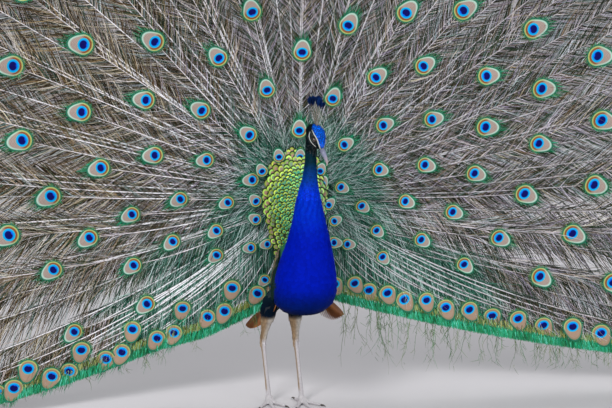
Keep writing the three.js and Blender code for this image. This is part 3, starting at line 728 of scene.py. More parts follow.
def face_band(name, side, route, widths):
    """A raised band of bare skin along points given in the skull's axes, laid on the head."""
    route = np.asarray(route) * np.array([side, 1, 1])
    t = np.linspace(0, len(route) - 1, BAND_STATIONS)
    given = np.arange(len(route))
    line = np.stack([np.interp(t, given, route[:, axis]) for axis in range(3)], axis=-1)
    for _ in range(6):
        line[1:-1] = (line[:-2] + 2 * line[1:-1] + line[2:]) / 4
    width = np.interp(t, given, widths)
    line = placed(from_head(line))
    run = unit(np.gradient(line, axis=0))
    rows = []
    for n, point in enumerate(line):
        near, normal, _, _ = skin_tree.find_nearest(Vector(point))
        across = unit(np.cross(run[n], np.array(normal)))
        for share in np.linspace(-1, 1, BAND_COLUMNS):
            spot = np.array(near) + across * share * width[n] / 2
            spot, out, _, _ = skin_tree.find_nearest(Vector(spot))
            proud = BAND_SEAT + BAND_SWELL * math.sqrt(max(0.0, 1 - share**2))
            rows.append(np.array(spot) + np.array(out) * proud)
    made = mesh_object(name, np.array(rows), grid_faces(1, BAND_STATIONS, BAND_COLUMNS), white_finish)
    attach(made, "root")


CHEEK = [
    (0.0140, -0.0270, -0.0100), (0.0190, -0.0170, -0.0115), (0.0228, -0.0040, -0.0090),
    (0.0235, 0.0060, -0.0020), (0.0230, 0.0115, 0.0065),
]
for side, label in ((-1, "right"), (1, "left")):
    face_band(f"brow_stripe_{label}", side, BROW, [0.0022, 0.0029, 0.0029, 0.0022, 0.0008])
    face_band(f"cheek_crescent_{label}", side, CHEEK, [0.0008, 0.0022, 0.0030, 0.0026, 0.0010])

horn_finish, tree, shader = new_material("bill_horn", 0.38, Specular_IOR_Level=0.5)
streak = noise(tree, 260.0, 4.0)
horn = ramp(
    tree, attribute(tree, "along"), (0.0, 0.13, 0.15, 0.24), (0.45, 0.27, 0.29, 0.43),
    (0.85, 0.48, 0.38, 0.40), (1.0, 0.60, 0.47, 0.43),
)
horn = mixed(tree, maths(tree, "MULTIPLY", streak, 0.35), horn, (0.12, 0.11, 0.12, 1))
painted(tree, shader, horn, relief(tree, streak, 0.25, 0.0005))
BILL_LENGTH = 0.043
BILL_ROOT = -0.0383
LOWER_BILL_SHARE = 0.82
BILL_GAP = 0.0001
BILL_STEPS, BILL_COLUMNS = 26, 29


def bill_parting(t):
    """Height of the line between the two halves, a share of the way along the upper one."""
    hook = max(0.0, t - 0.84) / 0.16
    return -0.009 - 0.003 * t - 0.004 * t**3 - 0.004 * hook * hook


for upper, label in ((True, "bill_upper"), (False, "bill_lower")):
    shortened, rising = (1.0, 1) if upper else (LOWER_BILL_SHARE, -1)
    local = []
    for t in np.linspace(0, 1, BILL_STEPS):
        half = 0.0078 * (1 - t) ** 0.6 + 0.0006
        thick = 0.0096 * (1 - t) ** 0.5 + 0.001 if upper else 0.0042 * (1 - t) ** 0.7 + 0.0006
        for turn in np.linspace(0, 2 * np.pi, BILL_COLUMNS):
            up = math.sin(turn)
            level = up * (thick if up > 0 else 0.0002) + BILL_GAP
            pinch = 1 - 0.28 * max(0.0, up) ** 2
            nostril = math.exp(-(((t - 0.20) / 0.06) ** 2) - ((up - 0.62) / 0.22) ** 2) if upper else 0
            wide = half * math.cos(turn) * pinch * (1 - 0.22 * nostril)
            ahead = BILL_ROOT - BILL_LENGTH * shortened * t
            local.append((wide, ahead, bill_parting(shortened * t) + rising * level))
    local = np.array(local).reshape(BILL_STEPS, BILL_COLUMNS, 3)[:, ::rising]
    made = mesh_object(
        label + "_horn", placed(from_head(local)), grid_faces(1, BILL_STEPS, BILL_COLUMNS), horn_finish,
        values={"along": np.repeat(np.linspace(0, 1, BILL_STEPS), BILL_COLUMNS)},
    )
    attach(made, "root")
    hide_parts(label)

# ---------------------------------------------------------------- crest
# A fan of some two dozen bare, wiry shafts stands on the crown. Each carries a small, dark blue
# green spatula of barbs at its tip only.
CREST_ROOT = np.array([0, 0.021, 0.0195])
CREST_FEATHERS = 22
CREST_LENGTH = 0.071
CREST_WIRE = 0.00032
WIRE_ROWS, WIRE_COLUMNS = 7, 5
rng = np.random.default_rng(23)
wire_finish, tree, shader = new_material("crest_shaft", 0.5)
painted(tree, shader, ramp(tree, noise(tree, 300.0), (0.3, 0.20, 0.15, 0.11), (0.7, 0.42, 0.36, 0.32)))
crest_tip_finish = plumage_finish("crest_tip", 0.45, 0.5, 0.15, 0.0, 10.0, 0.8)
roots, tips, ways = [], [], []
for i in range(CREST_FEATHERS):
    share = (i + 0.5) / CREST_FEATHERS - 0.5
    rake = math.radians(51 + 48 * share)
    lean = math.radians(rng.uniform(-9, 9))
    way = unit(np.array([math.sin(lean), math.sin(rake), math.cos(rake)]))
    length = CREST_LENGTH * (1 - 0.35 * share**2) * rng.uniform(0.93, 1.0)
    root = CREST_ROOT + np.array([rng.uniform(-0.003, 0.003), share * 0.008, -0.003])
    roots.append(root)
    tips.append(root + way * (length - 0.010))
    ways.append(way)
roots, tips, ways = np.array(roots), np.array(tips), np.array(ways)
share = np.linspace(0, 1, WIRE_ROWS)[None, :, None]
line = roots[:, None] + (tips - roots)[:, None] * share
line = line + np.sin(np.pi * share) * rng.normal(0, 0.0012, (CREST_FEATHERS, 1, 3))
first = unit(np.cross(ways, [1.0, 0, 0]))[:, None]
second = unit(np.cross(ways, first[:, 0]))[:, None]
columns = []
for turn in np.linspace(0, 2 * np.pi, WIRE_COLUMNS):
    columns.append(line + CREST_WIRE * (math.cos(turn) * first + math.sin(turn) * second))
flat = np.stack(np.broadcast_arrays(np.linspace(0, 1, WIRE_COLUMNS)[None, None, :], share), axis=-1)
made = mesh_object(
    "crest_shafts", placed(from_head(np.stack(columns, axis=2))),
    grid_faces(CREST_FEATHERS, WIRE_ROWS, WIRE_COLUMNS), wire_finish,
    maps={"vane": np.broadcast_to(flat, (CREST_FEATHERS, WIRE_ROWS, WIRE_COLUMNS, 2))},
)
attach(made, "root")
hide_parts("crest")
facing = turned(np.broadcast_to(np.array([1.0, 0.15, 0.0]), ways.shape) @ HEAD_MATRIX.T)


def crest_unwrap(places):
    spot = to_head(places)
    return np.stack([0.5 + spot[:, 1] * 5, 0.1 + spot[:, 2] * 8], axis=-1)


TIP_BLUE = np.array([[0.0012, 0.016, 0.085]])
tip_colours = np.tile(TIP_BLUE, (CREST_FEATHERS, 1)) * rng.uniform(0.6, 1.6, (CREST_FEATHERS, 1))
edge_on = turned(unit(np.cross(ways, [1.0, 0.15, 0.0])) @ HEAD_MATRIX.T)
for outward, label in ((facing, "side"), (edge_on, "front")):
    made = coat(
        f"crest_tips_{label}", placed(from_head(tips - ways * 0.004)), outward, 0.021, 0.0088,
        np.zeros(5), ROUNDED_STATIONS, (0.15, 0.6, 1.0, 0.9, 0.35), crest_tip_finish,
        values={"tone": rng.random(CREST_FEATHERS)}, hug=False, way=turned(ways @ HEAD_MATRIX.T),
        place_map=crest_unwrap, colours=tip_colours, camber=0.1,
    )

# ---------------------------------------------------------------- claws
# Blunt, slightly curved horny claws end the four toes of each foot. They are dark brown,
# scuffed paler in patches, and sit in the skin of the toes.
claw_finish, tree, shader = new_material("claw_horn", 0.4)
worn = ramp(tree, noise(tree, 500.0, 4.0), (0.3, 0.035, 0.028, 0.024), (0.7, 0.13, 0.11, 0.095))
painted(tree, shader, worn)
CLAW_VOXEL = 0.0007
for side in ("right", "left"):
    names = [f"claw_{side}_{i}" for i in range(1, 5)]
    claws = joined_nodes(f"claws_{side}", names, 0.0001)
    remeshed(claws, CLAW_VOXEL)
    smoothed(claws, np.full(len(claws.data.vertices), 0.4), 3)
    claws.data.shade_smooth()
    claws.data.materials.clear()
    claws.data.materials.append(claw_finish)
    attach(claws, "root")
    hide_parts(*names)

# ---------------------------------------------------------------- wings
# The wings hang a little open against the flanks. Rows of small coverts lie over them, dark
# green at the shoulder, partly a painted shade, and then buff with dark brown bars, and the
# chestnut flight feathers are rooted under the last rows and droop behind the thighs.
rng = np.random.default_rng(31)
TRUNK_HALF_WIDTH = 0.075
# side, droop in degrees of the first and last flight feather, flare and tuck
WINGS = {"right": (-1, 44, 38, 0.100, 0.0), "left": (1, 44, 30, 0.066, 0.044)}
COVERT_ROWS, COVERTS_IN_ROW = 9, 15
PRIMARIES = 11
PRIMARY_WIDTH = 0.034
PRIMARY_OUTLINE = (0.35, 0.75, 0.95, 1.0, 1.0, 0.98, 0.9, 0.7, 0.25)


def midline(y):
    return -0.006 + 0.11 * y


def wing_reach(u):
    return TRUNK_HALF_WIDTH * (1.02 - 0.16 * u * u)


barred_finish, tree, shader = new_material("barred_covert", 0.65, Specular_IOR_Level=0.15)
grain = placed_group(tree, barb_lines, Count=14.0, Slant=0.7, Depth=0.3)
waver = maths(tree, "MULTIPLY", noise(tree, 70.0), 7.0)
bars = maths(tree, "SINE", maths(tree, "MULTIPLY_ADD", vane_place(tree)[1], 17.0, waver))
buff = mixed(tree, grain["Lines"], (0.30, 0.23, 0.15, 1), (0.42, 0.34, 0.24, 1))
barred = mixed(tree, soft_step(tree, bars, 0.15, 0.45), buff, (0.02, 0.016, 0.012, 1))
# shoulder: dark green, partly its own colour and partly painted shade, like the shaded train near it
barred = mixed(tree, attribute(tree, "shoulder"), barred, (0.001, 0.022, 0.014, 1))
painted(tree, shader, barred, grain["Normal"])
chestnut_finish, tree, shader = new_material("chestnut_primary", 0.6, Specular_IOR_Level=0.12)
grain = placed_group(tree, barb_lines, Count=60.0, Slant=0.45, Depth=0.3)
rufous = mixed(tree, attribute(tree, "tone"), (0.32, 0.10, 0.022, 1), (0.52, 0.19, 0.05, 1))
rufous = mixed(tree, maths(tree, "MULTIPLY", grain["Lines"], 0.4), rufous, (0.12, 0.05, 0.02, 1))
painted(tree, shader, mixed(tree, grain["Shaft"], rufous, (0.10, 0.05, 0.03, 1)), grain["Normal"])


def wing_point(side, u, v, out):
    """A place on a folded wing: u from shoulder to rump, v from its upper edge to its lower."""
    y = -0.078 + 0.182 * u
    upper = 0.384 + 0.034 * u + 0.016 * np.sin(np.pi * u)
    lower = 0.350 - 0.044 * u - 0.034 * np.sin(np.pi * u**0.8)
    x = midline(y) + side * (wing_reach(u) - 0.012 * (1 - v) ** 2 + 0.003 + out)
    return np.stack([x, y, upper + (lower - upper) * v], axis=-1)


def wing_unwrap(places):
    spot = own(places)
    return np.stack([0.5 + spot[:, 1] * 3, spot[:, 2] * 2 - 0.1], axis=-1)


for label, (side, first_droop, last_droop, flare, tuck) in WINGS.items():
    u, v = [], []
    for row in range(COVERT_ROWS):
        u.extend(np.linspace(-0.02, 0.92, COVERTS_IN_ROW) + 0.033 * (row % 2))
        v.extend(np.full(COVERTS_IN_ROW, 0.02 + 0.105 * row))
    u, v = np.clip(np.array(u), 0, 1), np.array(v)
    swell = 0.008 * np.sin(np.pi * (0.08 + 0.84 * u)) * np.sin(np.pi * (0.2 + 0.66 * v))
    root = wing_point(side, u, v, swell)
    outward = np.tile(np.array([side * 1.0, 0, 0.12]), (len(u), 1))
    way = np.tile(np.array([0, 0.86, -0.5]), (len(u), 1))
    tone, front_green_and_shade = rng.random(len(u)), rises(u + rng.normal(0, 0.03, len(u)), 0.50, 0.34)
    made = coat(
        f"wing_coverts_{label}", placed(root), turned(unit(outward)), 0.028 + 0.014 * v, 0.020 + 0.004 * v,
        np.array([0, 0.0010, 0.0018, 0.0024, 0.0026]), ROUNDED_STATIONS, ROUNDED, barred_finish,
        values={"tone": tone, "shoulder": front_green_and_shade}, hug=False, way=turned(way), place_map=wing_unwrap,
    )
    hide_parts(f"wing_{label}_coverts")
    u = np.linspace(0.0, 1.0, PRIMARIES)
    swing = np.radians(-first_droop + (first_droop - last_droop) * u**0.8)
    length = 0.068 + 0.106 * np.sin(np.pi * (0.06 + 0.54 * u))
    y = -0.020 + 0.090 * u
    wide = wing_reach(u) - 0.002 - tuck * (1 - u) + 0.0006 * np.arange(PRIMARIES)
    root = np.stack([midline(y) + side * wide, y, 0.300 - 0.025 * u], axis=-1)
    sweep = side * flare * (0.3 + 0.7 * u) / length + 0.11
    way = unit(np.stack([sweep, np.cos(swing), np.sin(swing)], axis=-1))
    face = np.tile(np.array([0.75 * side, -0.30, 0.5]), (PRIMARIES, 1))
    face = unit(face - way * np.sum(face * way, axis=1, keepdims=True))
    stations = np.linspace(0, 1, len(PRIMARY_OUTLINE))
    made = coat(
        f"wing_primaries_{label}", placed(root), turned(face), length, PRIMARY_WIDTH,
        np.zeros(len(stations)), stations, PRIMARY_OUTLINE, chestnut_finish,
        values={"tone": rng.random(PRIMARIES)}, hug=False, way=turned(way),
        place_map=wing_unwrap, camber=0.08,
    )
    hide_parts(f"wing_{label}_primaries")

# ---------------------------------------------------------------- train: where each feather lies
# The train is about two hundred long feathers of the lower back, raised in one dished fan, and
# three in four end in an eye. The eyes stand in staggered rings, along each lower edge and
# round the shield. Shafts spring from under the shield's middle, the lower ones bent down.
rng = np.random.default_rng(7)
FAN_CENTRE = np.array([0.0, 0.118, 0.412])
FAN_DISH = 0.12
FAN_LEAN = math.radians(4)
FAN_REACH = 1.235
SHAFT_SOURCE = np.array([0.0, 0.165])
# by side, how far the lower edge starts below the hub, its slope and its bend
LOWER_EDGES = {
    -1: (0.085, 0.52, 0.225),
    1: (0.110, 0.33, 0.13),
}


def fan_point(u, v, depth):
    """A point of the fan by its two distances from the hub and its depth in front of the dish."""
    forward = FAN_DISH * (u * u + v * v) + depth
    return np.stack([
        FAN_CENTRE[0] + u,
        FAN_CENTRE[1] - forward * math.cos(FAN_LEAN) - v * math.sin(FAN_LEAN),
        FAN_CENTRE[2] + v * math.cos(FAN_LEAN) - forward * math.sin(FAN_LEAN),
    ], axis=-1)


def fan_shape(azimuth):
    """How far the rim and the rings reach this way, as a share of their mean radius."""
    return 1 - 0.03 * np.sin(azimuth) - 0.08 * np.sin(2 * azimuth)


def edge_fall(u):
    """How far below the hub the lower edge is, a distance u to either side of it."""
    drop = [start + slope * np.abs(u) - bend * u * u for start, slope, bend in LOWER_EDGES.values()]
    return np.where(u < 0, *drop)


def edge_azimuth(radius, side):
    """Azimuth at which a circle of this radius meets the lower edge on this side."""
    low, high = 0.0, radius
    for _ in range(40):
        u = (low + high) / 2
        if math.hypot(u, float(edge_fall(np.array(side * u)))) > radius:
            high = u
        else:
            low = u
    below = math.acos(min(1.0, low / radius))
    return -below if side > 0 else math.pi + below


feathers = []


def add_feather(kind, radius, azimuth, depth, half, tip=None):
    """Kind is ring, edge, border or rim. The tip is the way its eye points, if not its shaft's."""
    end = np.array([radius * math.cos(azimuth), radius * math.sin(azimuth)])
    run = end - SHAFT_SOURCE
    reach = math.hypot(*run)
    low = min(1.0, max(0.0, 0.30 - run[1] / reach))
    bend = np.array([0.0, -0.20 * low * reach]) + rng.normal(0, 0.010, 2) * reach
    knee = SHAFT_SOURCE + run * 0.45 + bend
    outward = (end - knee) / math.hypot(*(end - knee))
    if tip is None:
        droop = math.radians(10 + 20 * abs(outward[0])) * abs(outward[0])
        tip = math.atan2(outward[1], outward[0]) - math.copysign(droop, outward[0]) + rng.normal(0, 0.07)
    half *= 1 + rng.normal(0, 0.03)
    feathers.append({
        "kind": kind, "end": end, "knee": knee, "reach": reach,
        "low": low, "depth": depth, "half": half, "tip": tip,
    })


def traits(chosen, name):
    """One trait of several feathers as an array."""
    return np.array([feather[name] for feather in chosen])


def ring_azimuth(step):
    return math.radians(90.7 + 11.30 * step - 0.0099 * step**3 - 0.038 * step**2)


def ring_radius(ring, azimuth):
    return (-0.0108 + 0.1253 * ring - 0.0018 * ring**2) * float(fan_shape(azimuth))


for ring in range(2, 12):
    for step in range(-9, 10):
        if (ring + step) % 2 == 0:
            continue
        azimuth = ring_azimuth(step)
        radius = ring_radius(ring, azimuth)
        half = 0.0122 + 0.0145 * min(1.0, radius / 0.85) ** 0.8
        add_feather("ring", radius, azimuth + rng.normal(0, 0.008), 0.006 - 0.0012 * ring, half)
for ring in (4, 6):
    azimuth = ring_azimuth(11)
    add_feather("ring", ring_radius(ring, azimuth), azimuth, 0.004, 0.021)

for side, count in ((-1, 20), (1, 16)):
    for i in range(count):
        if side < 0:
            radius = 0.122 + 0.146 * (i // 3) + 0.046 * (i % 3)
            lift = 0.027 + (0.046 if i % 3 == 2 else 0.0)
        else:
            radius = 0.144 + i * (0.041 + 0.0018 * i)
            lift = 0.046 + 0.012 * (i % 2)
        azimuth = edge_azimuth(radius, side) + side * (lift + rng.normal(0, 0.003)) / radius
        hang = math.radians(-90 + side * (22 + 10 * math.sin(2.1 * i)))
        half = 0.0210 + 0.004 * radius
        add_feather("edge", radius, azimuth, 0.009 + 0.002 * (i % 2), half, hang)

# places of the small eyes round the shield's border, across and above the hub
BORDER_EYES = [
    (-0.108, 0.230), (-0.062, 0.269), (-0.004, 0.267), (-0.124, 0.146),
    (-0.124, 0.094), (-0.138, 0.014), (-0.092, 0.022), (-0.098, -0.080), (0.053, 0.226),
    (0.059, 0.190), (0.079, 0.129), (0.096, 0.082), (0.096, 0.020), (0.134, 0.014),
]
SHIELD_CENTRE = np.array([-0.014, 0.085])
SHIELD_HALF = np.array([0.080, 0.200])


def shield_place(share, angle):
    """Across and above the fan's hub: an egg that stands its broad end up."""
    u = SHIELD_CENTRE[0] + SHIELD_HALF[0] * share * (1 + 0.4 * np.sin(angle)) * np.cos(angle)
    v = SHIELD_CENTRE[1] + SHIELD_HALF[1] * share * np.sin(angle)
    return u, v


for u, v in BORDER_EYES:
    tip = math.atan2(v - 0.03, u - SHIELD_CENTRE[0])
    add_feather("border", math.hypot(u, v), math.atan2(v, u), 0.014, 0.0150, tip)

# ---------------------------------------------------------------- train: eyespots
# Each train feather ends in an eye: a close, flat web of barbs round the shaft's tip. A dark
# heart lies in a turquoise ring, then copper towards the root and rosy tan towards the tip,
# then a fine straw-coloured ring, and a loose green border.
EYE_AROUND = 36
EYE_RINGS = (0.0, 0.22, 0.42, 0.62, 0.8, 0.93, 1.06, 1.16)
EYE_PROUD = 0.0075


def eye_outline(angle):
    """Reach of an eye's straw ring by the angle from its tip, in half widths."""
    along = np.cos(angle)
    across = np.sin(angle)
    reach = np.where(along > 0, 1.34, 0.97)
    egg = 1 / np.sqrt((along / reach) ** 2 + across**2)
    return egg * (1 + 0.08 * np.maximum(along, 0) ** 6 - 0.14 * np.maximum(along, 0) * across**2)


def egg_distance(tree, along, across, centre, tip, base, half):
    """1 on an egg-shaped line, less inside it: a node chain over an eye's own axes."""
    past = maths(tree, "SUBTRACT", along, centre)
    ahead = maths(tree, "DIVIDE", maths(tree, "MAXIMUM", past, 0.0), tip)
    behind = maths(tree, "DIVIDE", maths(tree, "MINIMUM", past, 0.0), base)
    wide = maths(tree, "DIVIDE", across, half)
    total = maths(tree, "MULTIPLY", ahead, ahead)
    total = maths(tree, "MULTIPLY_ADD", behind, behind, total)
    total = maths(tree, "MULTIPLY_ADD", wide, wide, total)
    return maths(tree, "SQRT", total)


# half widths of an eye that its map spans
EYE_MAP_SPAN = 4.0
spot_finish, tree, shader = new_material("train_eyespot", 0.5, Specular_IOR_Level=0.12)
across, along = [
    maths(tree, "MULTIPLY", maths(tree, "SUBTRACT", place, 0.5), EYE_MAP_SPAN) for place in vane_place(tree)
]
on_edge = attribute(tree, "edge")
ring_distance = attribute(tree, "reach")
turquoise_distance = egg_distance(tree, along, across, -0.05, 0.60, 0.60, 0.68)
heart_distance = egg_distance(tree, along, across, -0.03, 0.36, 0.34, 0.43)
notch = maths(tree, "SUBTRACT", 1.0, soft_step(tree, maths(tree, "ABSOLUTE", across), 0.02, 0.22))
notch = maths(tree, "MULTIPLY", notch, soft_step(tree, along, -0.15, -0.42))
heart_distance = maths(tree, "ADD", heart_distance, maths(tree, "MULTIPLY", notch, 0.35))
grain = placed_group(tree, barb_lines, Count=22.0, Slant=0.9, Depth=0.25)
bands = maths(tree, "SINE", maths(tree, "MULTIPLY", ring_distance, 62.0))
bands = maths(tree, "MULTIPLY_ADD", bands, 0.5, 0.5)
weave = maths(tree, "MULTIPLY_ADD", bands, 0.6, maths(tree, "MULTIPLY", grain["Lines"], 0.4))
tan = mixed(tree, weave, (0.30, 0.21, 0.165, 1), (0.60, 0.49, 0.44, 1))
copper = mixed(tree, grain["Lines"], (0.20, 0.055, 0.018, 1), (0.42, 0.15, 0.055, 1))
body = mixed(tree, soft_step(tree, along, -0.20, 0.35), copper, tan)
body = mixed(tree, maths(tree, "MULTIPLY", on_edge, 0.75), body, (0.46, 0.30, 0.20, 1))
straw = mixed(tree, soft_step(tree, along, -0.6, 0.9), (0.50, 0.56, 0.18, 1), (0.52, 0.74, 0.62, 1))
faded = maths(tree, "MULTIPLY", on_edge, soft_step(tree, along, -0.2, 0.4))
straw = mixed(tree, faded, straw, (0.38, 0.28, 0.18, 1))
border = mixed(tree, grain["Lines"], (0.008, 0.11, 0.065, 1), (0.05, 0.30, 0.17, 1))
turquoise = ramp(
    tree, turquoise_distance, (0.55, 0.0, 0.10, 0.95), (0.78, 0.0, 0.42, 1.0), (1.0, 0.0, 0.60, 0.68),
)
colour = mixed(tree, soft_step(tree, ring_distance, 0.86, 0.91), body, straw)
colour = mixed(tree, soft_step(tree, ring_distance, 0.99, 1.05), colour, border)
colour = mixed(tree, soft_step(tree, turquoise_distance, 1.03, 0.95), colour, turquoise)
colour = mixed(tree, soft_step(tree, heart_distance, 1.08, 0.94), colour, (0.0015, 0.0020, 0.13, 1))
from_behind = node(tree, "ShaderNodeNewGeometry").outputs["Backfacing"]
painted(tree, shader, mixed(tree, from_behind, colour, (0.10, 0.085, 0.07, 1)), grain["Normal"])


def eyespots(name, group, columns):
    """The eyes of some feathers as one mesh, each with a cell of its own in the colour map."""
    half, tip, depth = (traits(group, name)[:, None, None] for name in ("half", "tip", "depth"))
    end = traits(group, "end")[:, :, None, None]
    angle = np.linspace(0, 2 * np.pi, EYE_AROUND, endpoint=False)
    share = np.array(EYE_RINGS)
    reach = eye_outline(angle)[None, :] * share[:, None]
    along = reach * np.cos(angle)[None, :]
    across = reach * np.sin(angle)[None, :]
    u = end[:, 0] + half * (along * np.cos(tip) - across * np.sin(tip))
    v = end[:, 1] + half * (along * np.sin(tip) + across * np.cos(tip))
    cup = rng.uniform(0.03, 0.10, half.shape) * half
    roll = rng.normal(0, 0.07, half.shape) * half
    pitch = rng.normal(0, 0.07, half.shape) * half
    depth = depth + EYE_PROUD - cup * across[None] ** 2 + roll * across[None] + pitch * along[None]
    points = placed(fan_point(u, v, depth)).reshape(len(group), -1, 3)
    rows, around = reach.shape
    here = np.arange(rows - 1)[:, None] * around + np.arange(around)
    beside = np.arange(rows - 1)[:, None] * around + (np.arange(around) + 1) % around
    ring_faces = np.stack([here, beside, beside + around, here + around], axis=-1).reshape(-1, 4)
    faces = (np.arange(len(group))[:, None, None] * rows * around + ring_faces[None]).reshape(-1, 4)
    cell = np.arange(len(group))
    corner = np.stack([(cell % columns + 0.5) / columns, (cell // columns + 0.5) / columns], axis=-1)
    flat = np.stack([across, along], axis=-1).reshape(-1, 2)
    bake = corner[:, None, :] + flat[None] * (0.29 / columns)
    vane = np.broadcast_to(0.5 + flat / EYE_MAP_SPAN, (len(group), *flat.shape))
    reach_values = np.broadcast_to(np.repeat(share, around), (len(group), rows * around))
    edge_values = np.repeat([float(f["kind"] == "edge") for f in group], rows * around)
    made = mesh_object(
        name, points, faces[:, ::-1], spot_finish,
        maps={"vane": vane, "OFBake": bake}, values={"reach": reach_values, "edge": edge_values},
    )
    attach(made, "root")


eyed = sorted(feathers, key=lambda feather: feather["reach"])
half_way = len(eyed) // 2
eyespots("train_eyespots_inner", eyed[:half_way], 10)
eyespots("train_eyespots_outer", eyed[half_way:], 10)

# ---------------------------------------------------------------- train: shafts
# A pale, tapering horny shaft carries each feather. It is thickest under the shield, silvery
# white on its front face, and ends in the eye. Plain feathers with forked tips, set behind
# the others, fill the fan out to its rim.
SHAFT_STATIONS = 18
SHAFT_COLUMNS = 4
SHAFT_START = 0.10
RIM_FEATHERS = 52

low, high = edge_azimuth(1.1, 1), edge_azimuth(1.1, -1)
for i in range(RIM_FEATHERS):
    azimuth = low + (high - low) * (i + 0.5) / RIM_FEATHERS + rng.normal(0, 0.008)
    radius = (1.20 + 0.018 * math.cos(math.pi * i)) * float(fan_shape(np.array(azimuth)))
    add_feather("rim", radius, azimuth, -0.009, 0.0)

end, knee, reach, low, level, half = (
    traits(feathers, name) for name in ("end", "knee", "reach", "low", "depth", "half")
)


def fan_cell(place):
    """Where a place on the fan is on an unwrap of the whole fan."""
    return place / 3.0 + 0.5


def shaft_line(index, share):
    """Where a feather's shaft is, a share of the way to its tip: place, heading and depth."""
    t = share[..., None]
    place = (1 - t) ** 2 * SHAFT_SOURCE + 2 * t * (1 - t) * knee[index] + t * t * end[index]
    run = 2 * (1 - t) * (knee[index] - SHAFT_SOURCE) + 2 * t * (end[index] - knee[index])
    depth = level[index] * np.clip(share * 1.4, 0, 1) + 0.0020
    return place, np.arctan2(run[..., 1], run[..., 0]), depth


# below this reach a feather's shaft is hidden by the shield
HIDDEN_REACH = 0.2
visible = np.flatnonzero(reach > HIDDEN_REACH)
index = np.repeat(visible[:, None], SHAFT_STATIONS, axis=1)
along = np.linspace(0, 1, SHAFT_STATIONS)[None, :]
first = SHAFT_START / reach[index]
share = np.clip(first + (1 - first) * along, 0, 1)
place, heading, depth = shaft_line(index, share)
thick = (0.0007 + 0.0014 * rises(share * reach[index], 0.14, 0.42)) * (1 - 0.6 * along**2)
columns = []
for turn in 2 * np.pi * (np.arange(SHAFT_COLUMNS) + 0.5) / (SHAFT_COLUMNS - 1):
    aside = thick * math.sin(turn)
    u = place[..., 0] - aside * np.sin(heading)
    v = place[..., 1] + aside * np.cos(heading)
    columns.append(fan_point(u, v, depth + thick * math.cos(turn)))
shaft_finish, tree, shader = new_material("feather_shaft", 0.35, Specular_IOR_Level=0.5)
pale = ramp(
    tree, vane_place(tree)[1], (0.0, 0.90, 0.97, 1.0), (0.6, 1.0, 0.96, 1.0),
    (0.92, 0.80, 0.74, 0.76), (1.0, 0.34, 0.28, 0.20),
)
# the shaft's white is its own pale colour and partly a painted highlight, broken into dashes by darker
# patches
dash_breaks = soft_step(tree, noise(tree, 160.0), 0.54, 0.70)
painted(tree, shader, mixed(tree, dash_breaks, pale, (0.20, 0.20, 0.16, 1)))
round_shaft = np.arange(SHAFT_COLUMNS) / (SHAFT_COLUMNS - 1)
flat = np.stack(np.broadcast_arrays(round_shaft, along[..., None] + 0 * share[..., None]), axis=-1)
bake = fan_cell(place)[:, :, None, :] + np.stack([flat[..., 0] * TUFT_PATCH, 0 * flat[..., 1]], axis=-1)
shafts = mesh_object(
    "train_shafts", placed(np.stack(columns, axis=2)),
    grid_faces(len(visible), SHAFT_STATIONS, SHAFT_COLUMNS), shaft_finish,
    maps={"vane": flat, "OFBake": bake}, smooth=False,
)
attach(shafts, "root")
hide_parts(*[f"train_{i:02d}" for i in range(1, 13)])

# ---------------------------------------------------------------- train: barbs
# Long separate barbs stand off both sides of every shaft and sweep towards its tip, a dark
# layer behind and a paler, finer one in front. They are emerald near the shield and bronze
# and grey-violet further out, and on the lowest feathers they hang straight down.

# name, pieces, spacing, least and greatest width, depth behind the shaft, darkest, palest
BARB_LAYERS = [
    ("train_barbs", 6, 0.0028, (0.0008, 0.0015), 0.0012, 0.06, 1.0),
    ("train_underbarbs", 2, 0.0066, (0.0020, 0.0036), 0.0050, 0.0, 0.30),
]
LOWEST_BARB = 0.002


def strips(
    name, start, heading, curl, length, width, depth, rise, finish, values, twist,
    stations=4, wander=0.0,
):
    """Thin flat barbs in the fan's face as one mesh, each bent along its length."""
    count = len(length)
    t = np.linspace(0, 1, stations)
    turn = heading[:, None] - curl[:, None] * ((t[1:] + t[:-1]) / 2)[None, :] + wander
    step = length[:, None] / (stations - 1)
    none = np.zeros((count, 1))
    u = start[:, :1] + np.concatenate([none, np.cumsum(np.cos(turn) * step, axis=1)], axis=1)
    v = start[:, 1:] + np.concatenate([none, np.cumsum(np.sin(turn) * step, axis=1)], axis=1)
    here = heading[:, None] - curl[:, None] * t[None, :]
    half = 0.5 * width[:, None] * (1 - 0.72 * t**2)[None, :]
    level = depth[:, None] + rise[:, None] * t[None, :]
    edges = []
    for side in (-1, 1):
        lean = np.cos(twist)[:, None] * half * side
        out = np.sin(twist)[:, None] * half * side
        edges.append(fan_point(u - np.sin(here) * lean, v + np.cos(here) * lean, level + out))
    points = placed(np.stack(edges, axis=2))
    points[..., 2] = np.maximum(points[..., 2], LOWEST_BARB)
    across, along = np.array([0.0, 1.0])[None, None, :], t[None, :, None] + none[:, :, None]
    flat = np.stack(np.broadcast_arrays(across, along), axis=-1)
    bake = fan_cell(start)[:, None, None, :] + (flat - 0.5) * TUFT_PATCH
    spread = {key: np.repeat(value, stations * 2) for key, value in values.items()}
    made = mesh_object(
        name, points, grid_faces(count, stations, 2), finish,
        maps={"vane": flat, "OFBake": bake}, values=spread,
    )
    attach(made, "root")


def outside(u, v):
    """True below the fan's lower edge or past its rim."""
    past_rim = np.hypot(u, v) > FAN_REACH * fan_shape(np.arctan2(v, u))
    return (v < 0.012 - edge_fall(u)) | past_rim
